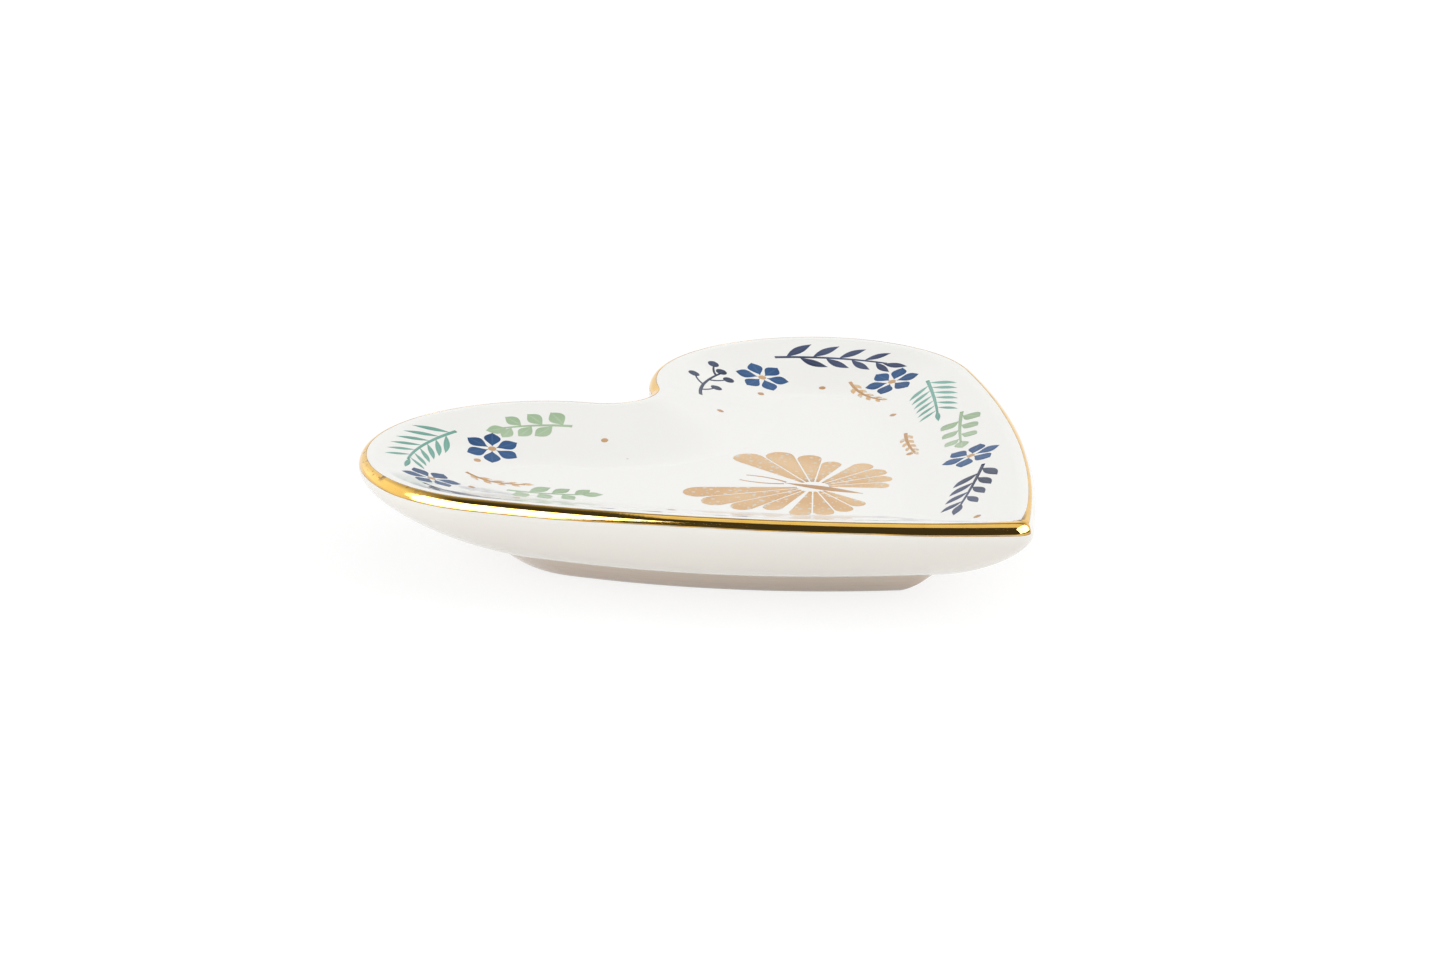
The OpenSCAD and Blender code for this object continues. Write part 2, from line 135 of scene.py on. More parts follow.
class Shader:
    """The node tree of one material or of the world."""

    def __init__(self, tree: bpy.types.NodeTree) -> None:
        """Empties a tree.

        Args:
            tree: The tree to fill.
        """
        self.tree = tree
        tree.nodes.clear()

    @classmethod
    def material(cls, name: str) -> tuple[bpy.types.Material, "Shader"]:
        """Makes a material.

        Args:
            name: The material's name.

        Returns:
            The material and its shader.
        """
        made = bpy.data.materials.new(name)
        made.use_nodes = True
        return made, cls(made.node_tree)

    def node(self, kind: str, settings: dict | None = None, inputs: dict | None = None) -> bpy.types.Node:
        """Adds any node.

        Args:
            kind: The node's type, without its ShaderNode prefix.
            settings: Properties to set before the sockets, such as an operation.
            inputs: Values, colours, Value objects or sockets, by socket name, identifier or index.

        Returns:
            The node.
        """
        node = self.tree.nodes.new("ShaderNode" + kind)
        for name, value in (settings or {}).items():
            setattr(node, name, value)
        for key, value in (inputs or {}).items():
            socket = self.find(node.inputs, key)
            source = value.socket if isinstance(value, Value) else value
            if isinstance(source, bpy.types.NodeSocket):
                self.tree.links.new(source, socket)
            elif isinstance(source, tuple) and socket.type == "RGBA":
                socket.default_value = (*source, 1.0)
            else:
                socket.default_value = source
        return node

    @staticmethod
    def find(sockets: bpy.types.bpy_prop_collection, key: str | int) -> bpy.types.NodeSocket:
        """Finds a socket.

        Args:
            sockets: A node's inputs or outputs.
            key: The socket's index, identifier or name.

        Returns:
            The socket. Of those with the same name, it is the first one in use.
        """
        if isinstance(key, int):
            return sockets[key]
        return next(s for s in sockets if key in (s.identifier, s.name) and s.enabled)

    def value(self, node: bpy.types.Node, output: str | int = 0) -> Value:
        """Wraps a node's output."""
        return Value(self.tree, self.find(node.outputs, output))

    def mix(self, share: Value | float, first: Paint, second: Paint) -> bpy.types.NodeSocket:
        """Mixes two colours.

        Args:
            share: The second colour's share.
            first: A colour or a colour socket.
            second: A colour or a colour socket.

        Returns:
            The mixed colour.
        """
        inputs = {"Factor_Float": share, "A_Color": first, "B_Color": second}
        return self.find(self.node("Mix", {"data_type": "RGBA"}, inputs).outputs, "Result_Color")

    def place(self) -> tuple[bpy.types.NodeSocket, Value, Value, Value]:
        """Reads the point on the piece, in metres.

        Returns:
            The point, and its x, y and z.
        """
        point = self.node("TexCoord").outputs["Object"]
        parts = self.node("SeparateXYZ", inputs={0: point})
        return point, self.value(parts, 0), self.value(parts, 1), self.value(parts, 2)

    def stroke(self) -> tuple[Value, Value]:
        """The share of the way along a stroke or round the rim, and the way across it from -1 to 1."""
        parts = self.node("SeparateXYZ", inputs={0: self.node("UVMap", {"uv_map": "stroke"}).outputs[0]})
        return self.value(parts, 0), self.value(parts, 1) * 2 - 1

    def noise(self, point: bpy.types.NodeSocket, size: float, detail: float = 2.0) -> Value:
        """Soft noise from 0 to 1.

        Args:
            point: Where to read it.
            size: The width of its blotches, in metres.
            detail: How many finer layers it has.

        Returns:
            The noise.
        """
        node = self.node("TexNoise", inputs={"Vector": point, "Scale": 1 / size, "Detail": detail})
        return self.value(node, "Fac")

    def flecks(self, point: bpy.types.NodeSocket, spacing: float, radius: float, share: float,
               flat: bool = False) -> Value:
        """Small round flecks, a few of them.

        Args:
            point: Where to read them.
            spacing: The width of the cells that may hold one fleck each, in metres.
            radius: The radius of a fleck, in metres.
            share: The share of the cells that hold one.
            flat: Reads them in plan, where each is whole.

        Returns:
            1 in a fleck, and 0 outside.
        """
        settings = {"voronoi_dimensions": "2D" if flat else "3D"}
        node = self.node("TexVoronoi", settings, {"Vector": point, "Scale": 1 / spacing})
        chance = self.value(self.node("SeparateColor", inputs={0: node.outputs["Color"]}), 0)
        edge = self.value(node, "Distance").ramp(radius / spacing, 0.6 * radius / spacing)
        return edge * (chance < share)

    def bump(self, height: Value, depth: float, strength: float = 1.0) -> bpy.types.NodeSocket:
        """Turns a height into a normal.

        Args:
            height: From 0 to 1.
            depth: What a height of 1 stands for, in metres.
            strength: How much of it shows.

        Returns:
            The normal.
        """
        inputs = {"Strength": strength, "Distance": depth, "Height": height}
        return self.node("Bump", inputs=inputs).outputs[0]

    def surface(self, **inputs: object) -> None:
        """Ends the tree in a Principled shader, with underscores in the names for spaces."""
        named = {name.replace("_", " "): value for name, value in inputs.items()}
        shader = self.node("BsdfPrincipled", inputs=named)
        self.node("OutputMaterial", inputs={"Surface": shader.outputs[0]})


# ---- Finishes ----


@dataclass(frozen=True)
class PorcelainFinish:
    """White porcelain under a clear gloss glaze, with bare porcelain on the land of the foot.

    A share says how much of a colour or a height shows. The glaze is painted darker and warmer down
    the foot ring, in a step at its top and on to the table: partly a thinner glaze, partly painted shade.
    """

    glaze: Colour = (0.865, 0.86, 0.83)
    clouded: Colour = (0.8, 0.785, 0.76)
    # Partly painted shade: the foot ring's darker, warmer colour stands for a thinner glaze and for the shade
    # under the bulge.
    foot_glaze_and_shade: Colour = (0.7, 0.55, 0.42)
    bisque: Colour = (0.62, 0.55, 0.46)
    bisque_grain: Colour = (0.5, 0.43, 0.35)
    fleck: Colour = (0.5, 0.32, 0.23)
    land_top: float = 0.35 * MM
    foot_top: float = 5.6 * MM
    foot_fade: float = 0.5 * MM
    foot_step: float = 0.55
    cloud_size: float = 22 * MM
    cloud_share: float = 0.16
    grain_size: float = 0.35 * MM
    grain_share: float = 0.5
    turning_size: float = 8 * MM
    turning_squash: float = 26.0
    turning_share: float = 0.5
    turning_least: float = 0.78
    fleck_spacing: float = 5 * MM
    fleck_radius: float = 0.26 * MM
    fleck_chance: float = 0.3
    fleck_share: float = 0.4
    wave_size: float = 9 * MM
    peel_size: float = 1.6 * MM
    peel_share: float = 0.12
    ripple: float = 0.02 * MM
    ripple_strength: float = 0.8
    gloss: float = 0.06
    cloud_gloss: float = 0.04
    dry: float = 0.62
    bending: float = 1.52

    def build(self) -> bpy.types.Material:
        """Builds the material.

        Returns:
            The glazed porcelain.
        """
        made, shader = Shader.material("glazed_porcelain")
        point, _, _, z = shader.place()
        bare = z.ramp(self.land_top, 0.4 * self.land_top)
        squash = {0: point, 1: (1.0, 1.0, self.turning_squash)}
        squashed = shader.node("VectorMath", {"operation": "MULTIPLY"}, squash)
        turning = shader.noise(squashed.outputs[0], self.turning_size, 2)
        # Painted shade in part: the foot colour comes in with a step at the foot's top and grows towards the
        # table.
        junction_tint_and_shade = z.ramp(self.foot_top, self.foot_top - self.foot_fade) * self.foot_step
        low = junction_tint_and_shade + z.ramp(self.foot_top, 0.0) * (1 - self.foot_step)
        low = low * (turning * self.turning_share + self.turning_least)
        cloud = shader.noise(point, self.cloud_size, 3)
        grain = shader.noise(point, self.grain_size, 4)
        glaze = shader.mix(cloud * self.cloud_share, self.glaze, self.clouded)
        glaze = shader.mix(low, glaze, self.foot_glaze_and_shade)
        specks = shader.flecks(point, self.fleck_spacing, self.fleck_radius, self.fleck_chance)
        glaze = shader.mix(specks * self.fleck_share, glaze, self.fleck)
        bisque = shader.mix(grain * self.grain_share, self.bisque, self.bisque_grain)
        peel = shader.noise(point, self.peel_size, 2)
        wave = shader.noise(point, self.wave_size, 2) + peel * self.peel_share
        height = wave * (1 - bare) + grain * bare * self.grain_share
        shader.surface(
            Base_Color=shader.mix(bare, glaze, bisque),
            Roughness=(cloud * self.cloud_gloss + self.gloss) * (1 - bare) + bare * self.dry,
            IOR=self.bending,
            Normal=shader.bump(height, self.ripple, self.ripple_strength),
        )
        return made


@dataclass(frozen=True)
class GoldFinish:
    """Gold lustre, painted on by hand and burnished, thin at its edges and worn in places.

    Its places and widths are shares of the way round the rim, from the notch by the right side. Each
    pair is where an effect starts and where it is full: over its noise, or across the line from the
    outer edge at -1 to the inner at 1. A share says how much of a colour shows. The near-black patch
    on the inner half of the line at the tip is a painted dark reflection.
    """

    gold: Colour = (0.87, 0.55, 0.137)
    deep: Colour = (0.8, 0.45, 0.1)
    worn: Colour = (0.16, 0.075, 0.05)
    tip_dark_reflection: Colour = (0.06, 0.034, 0.02)
    deep_cloud: tuple[float, float] = (0.35, 0.8)
    deep_share: float = 0.6
    thin_edge: tuple[float, float] = (0.8, 1.0)
    thin_cloud: tuple[float, float] = (0.2, 0.7)
    worn_place: float = 0.825
    worn_width: float = 0.035
    worn_across: tuple[float, float] = (-0.3, 0.3)
    worn_patches: tuple[float, float] = (0.55, 0.62)
    worn_share: float = 0.8
    tip_place: float = 0.476
    tip_width: float = 0.028
    tip_dark_across: tuple[float, float] = (0.0, 0.4)
    tip_dark_share: float = 0.95
    cloud_size: float = 3.2 * MM
    patch_size: float = 1.3 * MM
    fleck_spacing: float = 1.5 * MM
    fleck_radius: float = 0.2 * MM
    fleck_chance: float = 0.12
    fleck_cloud: tuple[float, float] = (0.5, 0.6)
    brush_size: float = 1.4 * MM
    brush: float = 0.01 * MM
    brush_strength: float = 0.7
    gloss: float = 0.05
    cloud_gloss: float = 0.07
    worn_gloss: float = 0.25
    worn_metal: float = 0.4

    def build(self) -> bpy.types.Material:
        """Builds the material.

        Returns:
            The gold lustre.
        """
        made, shader = Shader.material("gold_lustre")
        point, _, _, _ = shader.place()
        along, across = shader.stroke()
        cloud = shader.noise(point, self.cloud_size, 3)
        patches = shader.noise(point, self.patch_size, 4)
        thin = abs(across).ramp(*self.thin_edge) * cloud.ramp(*self.thin_cloud)
        here = abs(along - self.worn_place).ramp(self.worn_width, self.worn_width * 0.5)
        rubbed = patches.ramp(*self.worn_patches) * here * across.ramp(*self.worn_across)
        specks = shader.flecks(point, self.fleck_spacing, self.fleck_radius, self.fleck_chance)
        wear = thin.most(specks * cloud.ramp(*self.fleck_cloud)).most(rubbed)
        colour = shader.mix(cloud.ramp(*self.deep_cloud) * self.deep_share, self.gold, self.deep)
        # Painted dark reflection: a near-black patch on the inner half of the gold line at the tip.
        pool = abs(along - self.tip_place).ramp(self.tip_width, self.tip_width * 0.4)
        pool = pool * across.ramp(*self.tip_dark_across)
        colour = shader.mix(pool * self.tip_dark_share, colour, self.tip_dark_reflection)
        strokes = shader.noise(point, self.brush_size, 3)
        shader.surface(
            Base_Color=shader.mix(wear * self.worn_share, colour, self.worn),
            Metallic=1 - wear * self.worn_metal,
            Roughness=cloud * self.cloud_gloss + wear * self.worn_gloss + self.gloss,
            Normal=shader.bump(strokes, self.brush, self.brush_strength),
        )
        return made


@dataclass(frozen=True)
class InkFinish:
    """Fired transfer ink: a flat print that thins in patches, with a faint midrib to each shape.

    Large and small spots, where an ink has any, are gaps that show the glaze. Each pair of a patch is
    where it starts and where it is full, over its noise or along the stroke.
    """

    name: str
    ink: Colour
    thin: Colour
    rib: Colour
    rib_width: float = 0.1
    rib_strength: float = 0.25
    rib_patch: tuple[float, float] = (0.95, 0.7)
    thin_size: float = 14 * MM
    thin_patch: tuple[float, float] = (0.4, 0.62)
    grain: float = 0.2
    grain_size: float = 0.3 * MM
    grain_patch: tuple[float, float] = (0.45, 0.75)
    grain_depth: float = 0.004 * MM
    grain_strength: float = 0.4
    grain_gloss: float = 0.12
    spots: float = 0.0
    spot: Colour = (0.66, 0.62, 0.55)
    spot_spacing: tuple[float, float] = (1.7 * MM, 0.95 * MM)
    spot_radius: tuple[float, float] = (0.4 * MM, 0.19 * MM)
    small_spots: float = 0.6
    shine: float = 0.18
    gloss: float = 0.28

    def build(self) -> bpy.types.Material:
        """Builds the material.

        Returns:
            The ink.
        """
        made, shader = Shader.material(self.name)
        point, _, _, _ = shader.place()
        along, across = shader.stroke()
        cloud = shader.noise(point, self.thin_size, 1)
        grain = shader.noise(point, self.grain_size, 4)
        colour = shader.mix(cloud.ramp(*self.thin_patch), self.ink, self.thin)
        colour = shader.mix(grain.ramp(*self.grain_patch) * self.grain, colour, self.thin)
        rib = abs(across).ramp(self.rib_width * 1.6, self.rib_width * 0.6) * along.ramp(*self.rib_patch)
        colour = shader.mix(rib * self.rib_strength, colour, self.rib)
        if self.spots:
            chances = (self.spots, self.spots * self.small_spots)
            sizes = zip(self.spot_spacing, self.spot_radius, chances)
            large, small = (shader.flecks(point, *size, flat=True) for size in sizes)
            colour = shader.mix(large.most(small), colour, self.spot)
        shader.surface(
            Base_Color=colour,
            Roughness=grain * self.grain_gloss + self.gloss,
            Specular_IOR_Level=self.shine,
            Normal=shader.bump(grain, self.grain_depth, self.grain_strength),
        )
        return made


class Ink(Enum):
    """The inks of the transfer sheet."""

    GOLD = InkFinish(
        "gold_ink", (0.66, 0.41, 0.2), (0.76, 0.53, 0.3), (0.5, 0.29, 0.13), spots=0.55, rib_strength=0.0,
    )
    GOLD_LINE = InkFinish(
        "gold_line_ink", (0.5, 0.28, 0.13), (0.58, 0.36, 0.19), (0.5, 0.3, 0.15), rib_strength=0.0,
    )
    NAVY = InkFinish("navy_ink", (0.02, 0.031, 0.075), (0.07, 0.09, 0.165), (0.11, 0.14, 0.24))
    BLUE = InkFinish("blue_ink", (0.015, 0.058, 0.165), (0.032, 0.1, 0.245), (0.1, 0.2, 0.4))
    SAGE = InkFinish("sage_ink", (0.33, 0.46, 0.285), (0.45, 0.57, 0.4), (0.6, 0.7, 0.54))
    TEAL = InkFinish("teal_ink", (0.13, 0.335, 0.27), (0.2, 0.43, 0.355), (0.36, 0.58, 0.5))


# ---- Outlines and sections, in millimetres ----


def unit(degrees: Array | float) -> Array:
    """Directions in the plane.

    Args:
        degrees: Angles from the X axis.

    Returns:
        Unit vectors, one a row.
    """
    angle = np.radians(degrees)
    return np.stack([np.cos(angle), np.sin(angle)], axis=-1)


def heading(vector: Array) -> float:
    """The angle of a vector from the X axis, in degrees."""
    return math.degrees(math.atan2(vector[1], vector[0]))


def cross(a: Array, b: Array) -> Array:
    """The z part of the cross product of plane vectors."""
    return a[..., 0] * b[..., 1] - a[..., 1] * b[..., 0]


@dataclass(frozen=True)
class Heart:
    """A heart of four tangent arcs a side: notch, lobe, side and tip. Its tip points to -Y."""

    width: float
    length: float
    back: float
    lobe: float
    notch: float
    side: float
    tip: float
    softens: float = 0.14

    @property
    def lobe_middle(self) -> Array:
        """Centre of the lobe's arc."""
        return np.array([self.width / 2 - self.lobe, self.back - self.lobe])

    @property
    def notch_middle(self) -> Array:
        """Centre of the notch's arc."""
        reach = math.sqrt((self.lobe + self.notch) ** 2 - self.lobe_middle[0] ** 2)
        return np.array([0.0, self.lobe_middle[1] + reach])

    @property
    def side_middle(self) -> Array:
        """Centre of the side's arc, which the lobe's and the tip's touch from inside.

        Returns:
            The point.
        """
        a, b = self.lobe_middle, np.array([0.0, self.back - self.length + self.tip])
        ra, rb = self.side - self.lobe, self.side - self.tip
        gap = np.linalg.norm(b - a)
        u = (b - a) / gap
        x = (ra * ra - rb * rb + gap * gap) / (2 * gap)
        return a + u * x + np.array([u[1], -u[0]]) * math.sqrt(ra * ra - x * x)

    def tip_radius(self, inset: Array | float) -> Array:
        """Radius of the tip at an inset: it softens on the way in."""
        return np.maximum(self.tip - inset, 0) + self.softens * np.asarray(inset)

    def tip_middle(self, inset: Array | float) -> Array:
        """Centre of the tip's arc.

        Args:
            inset: Distance in from the heart's own outline.

        Returns:
            The point, or one row an inset.
        """
        middle = self.side_middle
        y = middle[1] - np.sqrt((self.side - inset - self.tip_radius(inset)) ** 2 - middle[0] ** 2)
        return np.stack([np.zeros_like(y), y], axis=-1)

    def joints(self, inset: float) -> tuple[float, float, float]:
        """Directions, in degrees, at which the arcs meet.

        Args:
            inset: Distance in from the heart's own outline.

        Returns:
            From the notch's centre to the lobe, and from the side's centre to the lobe and to the tip.
        """
        return (
            heading(self.lobe_middle - self.notch_middle),
            heading(self.lobe_middle - self.side_middle),
            heading(self.tip_middle(inset) - self.side_middle),
        )

    def ring(self, inset: float, steps: tuple[int, int, int, int]) -> Array:
        """The whole outline.

        Args:
            inset: Distance in from the heart's own outline.
            steps: Steps of the notch, lobe, side and tip arcs of one half.

        Returns:
            Points in the plane, one a row, from the notch down the right side and up the left.
        """
        to_lobe, to_side, to_tip = self.joints(inset)
        tip, tip_r = self.tip_middle(inset), self.tip_radius(inset)
        arcs = (
            (self.notch_middle, self.notch + inset, -90, to_lobe),
            (self.lobe_middle, self.lobe - inset, to_lobe + 180, to_side),
            (self.side_middle, self.side - inset, to_side, to_tip),
            (tip, tip_r, to_tip, -90),
        )
        half = [
            middle + radius * unit(np.linspace(start, end, count, endpoint=False))
            for (middle, radius, start, end), count in zip(arcs, steps)
        ]
        half = np.concatenate([*half, [tip - [0, tip_r]]])
        return np.concatenate([half, half[-2:0:-1] * [-1, 1]])

    def holds(self, points: Array, inset: Array) -> Array:
        """Says which points lie inside the outline at an inset.

        Args:
            points: Points in the plane, one a row.
            inset: One inset a point.

        Returns:
            True or False a point.
        """
        q = points * 1.0
        q[:, 0] = abs(q[:, 0])
        lobe, notch, side, tip = self.lobe_middle, self.notch_middle, self.side_middle, self.tip_middle(inset)
        at_notch = (q[:, 0] < lobe[0]) & (q[:, 1] < notch[1]) & (cross(lobe - notch, q - notch) < 0)
        at_lobe = ~at_notch & (cross(lobe - side, q - side) > 0)
        at_tip = (q[:, 1] < tip[:, 1]) & (cross(tip - side, q - tip) < 0)
        return (
            (np.linalg.norm(q - side, axis=1) < self.side - inset)
            & (~at_notch | (np.linalg.norm(q - notch, axis=1) > self.notch + inset))
            & (~at_lobe | (np.linalg.norm(q - lobe, axis=1) < self.lobe - inset))
            & (~at_tip | (np.linalg.norm(q - tip, axis=1) < self.tip_radius(inset)))
        )

    def insets(self, points: Array, most: float) -> Array:
        """Insets of points, each found by halving the interval that holds it.

        Args:
            points: Points in the plane, one a row.
            most: The greatest inset to tell apart.

        Returns:
            One inset a point.
        """
        low, high = np.zeros(len(points)), np.full(len(points), most)
        for _ in range(18):
            middle = (low + high) / 2
            inside = self.holds(points, middle)
            low, high = np.where(inside, middle, low), np.where(inside, high, middle)
        return (low + high) / 2

    def place(self, share: float, inset: float) -> tuple[Array, float]:
        """A place on the right half.

        Args:
            share: Share of the way round from the notch to the tip.
            inset: Distance in from the outline.

        Returns:
            The point and the inward heading.
        """
        to_lobe, to_side, to_tip = self.joints(0)
        runs = (
            self.notch * (to_lobe + 90),
            self.lobe * (to_lobe + 180 - to_side),
            self.side * (to_side - to_tip),
        )
        way = share * sum(runs)
        if way < runs[0]:
            angle = -90 + way / self.notch
            return self.notch_middle + (self.notch + inset) * unit(angle), angle
        if way < runs[0] + runs[1]:
            angle = to_lobe + 180 - (way - runs[0]) / self.lobe
            return self.lobe_middle + (self.lobe - inset) * unit(angle), angle + 180
        angle = to_side - (way - runs[0] - runs[1]) / self.side
        return self.side_middle + (self.side - inset) * unit(angle), angle + 180


@dataclass(frozen=True)
class Section:
    """The dish's section: heights of the upper surface over the inset from the outer edge."""

    crest: float
    crest_inset: float = 1.6
    crest_rise: float = 2.1
    lip: float = 3.2
    depth: float = 5.4
    reach: float = 21.5
    curve: float = 1.35

    @property
    def lip_fall(self) -> float:
        """Drop from the crest to the foot of the lip, where the wall of the well starts."""
        half = (self.lip - self.crest_inset) / 2
        return self.curve * self.depth / (self.reach - self.lip + self.curve * half) * half

    def height(self, inset: Array | float) -> Array:
        """Height of the upper surface.

        Args:
            inset: Distance in from the outer edge.

        Returns:
            Heights over the table.
        """
        d = np.asarray(inset, float)
        outward = 1 - np.minimum(d / self.crest_inset, 1)
        edge = self.crest_rise * (1 - np.sqrt(np.maximum(1 - outward**2, 0)))
        lip = self.lip_fall * ((d - self.crest_inset) / (self.lip - self.crest_inset)) ** 2
        left = np.clip((self.reach - d) / (self.reach - self.lip), 0, 1)
        wall = self.depth - (self.depth - self.lip_fall) * left**self.curve
        return self.crest - np.where(d < self.crest_inset, edge, np.where(d < self.lip, lip, wall))

    def over_lip(self, turn: Array) -> tuple[Array, Array]:
        """A point of the rounded lip.

        Args:
            turn: Degrees from the crest: 90 is the outermost line, and less than 0 is inside the crest.

        Returns:
            Insets and heights.
        """
        outer = self.crest_inset * (1 - np.sin(np.radians(turn)))
        inner = self.crest_inset * (1 - np.radians(turn))
        inset = np.where(turn > 0, outer, inner)
        rounded = self.crest - self.crest_rise * (1 - np.cos(np.radians(turn)))
        return inset, np.where(turn > 0, rounded, self.height(inset))


def bezier(points: list[Array], t: float) -> Array:
    """A point of a Bezier curve.

    Args:
        points: The curve's control points.
        t: Share of the way along it.

    Returns:
        The point.
    """
    while len(points) > 1:
        points = [a + (b - a) * t for a, b in zip(points, points[1:])]
    return points[0]


# ---- Meshes ----


class MeshPiece:
    """Gathers the points and faces of one piece, and makes its object."""

    def __init__(self) -> None:
        """Starts with nothing."""
        self.points: list[Array] = []
        self.faces: list[tuple[int, ...]] = []
        self.ways: list[Array] = []
        self.slots: list[int] = []
        self.count = 0

    def add(self, points: Array, ways: Array | None = None) -> int:
        """Adds points.

        Args:
            points: Points in millimetres, one a row.
            ways: For each, the share of the way along its stroke and across it.

        Returns:
            The first new point's number.
        """
        start = self.count
        self.points.append(np.asarray(points, float))
        self.ways.append(np.zeros((len(points), 2)) if ways is None else ways)
        self.count += len(points)
        return start

    def grid(self, start: int, rows: int, columns: int, round_columns: bool = False,
             round_rows: bool = False, flip: bool = False, slot: int = 0) -> None:
        """Adds the faces of a grid of points that are already there, row by row.

        Args:
            start: The first point's number.
            rows: How many rows.
            columns: How many columns.
            round_columns: Joins the last column to the first.
            round_rows: Joins the last row to the first.
            flip: Turns the faces over.
            slot: The faces' material slot.
        """
        for r in range(rows if round_rows else rows - 1):
            below, above = start + r * columns, start + (r + 1) % rows * columns
            for c in range(columns if round_columns else columns - 1):
                n = (c + 1) % columns
                face = (below + c, below + n, above + n, above + c)
                self.faces.append(face[::-1] if flip else face)
                self.slots.append(slot)

    def fan(self, middle: int, ring: list[int], flip: bool = False) -> None:
        """Closes a ring with triangles.

        Args:
            middle: The number of the point that they share.
            ring: The numbers of the ring's points.
            flip: Turns the faces over.
        """
        for a, b in zip(ring, ring[1:] + ring[:1]):
            self.faces.append((middle, b, a) if flip else (middle, a, b))
            self.slots.append(0)

    def make(self, name: str, materials: list[bpy.types.Material], slot: str,
             replaced: str) -> bpy.types.Object:
        """Makes the object, which rides on the dish and stands for a solid.

        Args:
            name: The piece's name.
            materials: Its materials, by slot number.
            slot: The record's material slot. It is not used.
            replaced: The solid that it stands for.

        Returns:
            The object.
        """
        mesh = bpy.data.meshes.new(name)
        points = np.concatenate(self.points)
        mesh.from_pydata((points * MM).tolist(), [], self.faces)
        for material in materials:
            mesh.materials.append(material)
        mesh.polygons.foreach_set("material_index", self.slots)
        mesh.polygons.foreach_set("use_smooth", [True] * len(self.faces))
        corners = np.zeros(len(mesh.loops), np.int32)
        mesh.loops.foreach_get("vertex_index", corners)
        layer = mesh.uv_layers.new(name="stroke")
        layer.data.foreach_set("uv", np.concatenate(self.ways)[corners].ravel())
        mesh.validate()
        mesh.update()
        made = bpy.data.objects.new(name, mesh)
        bpy.context.scene.collection.objects.link(made)
        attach(made, BODY)
        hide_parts(replaced)
        LOG.info("%s: %d points, %d faces, for %s", name, len(points), len(self.faces), replaced)
        return made


# ---- The porcelain body ----


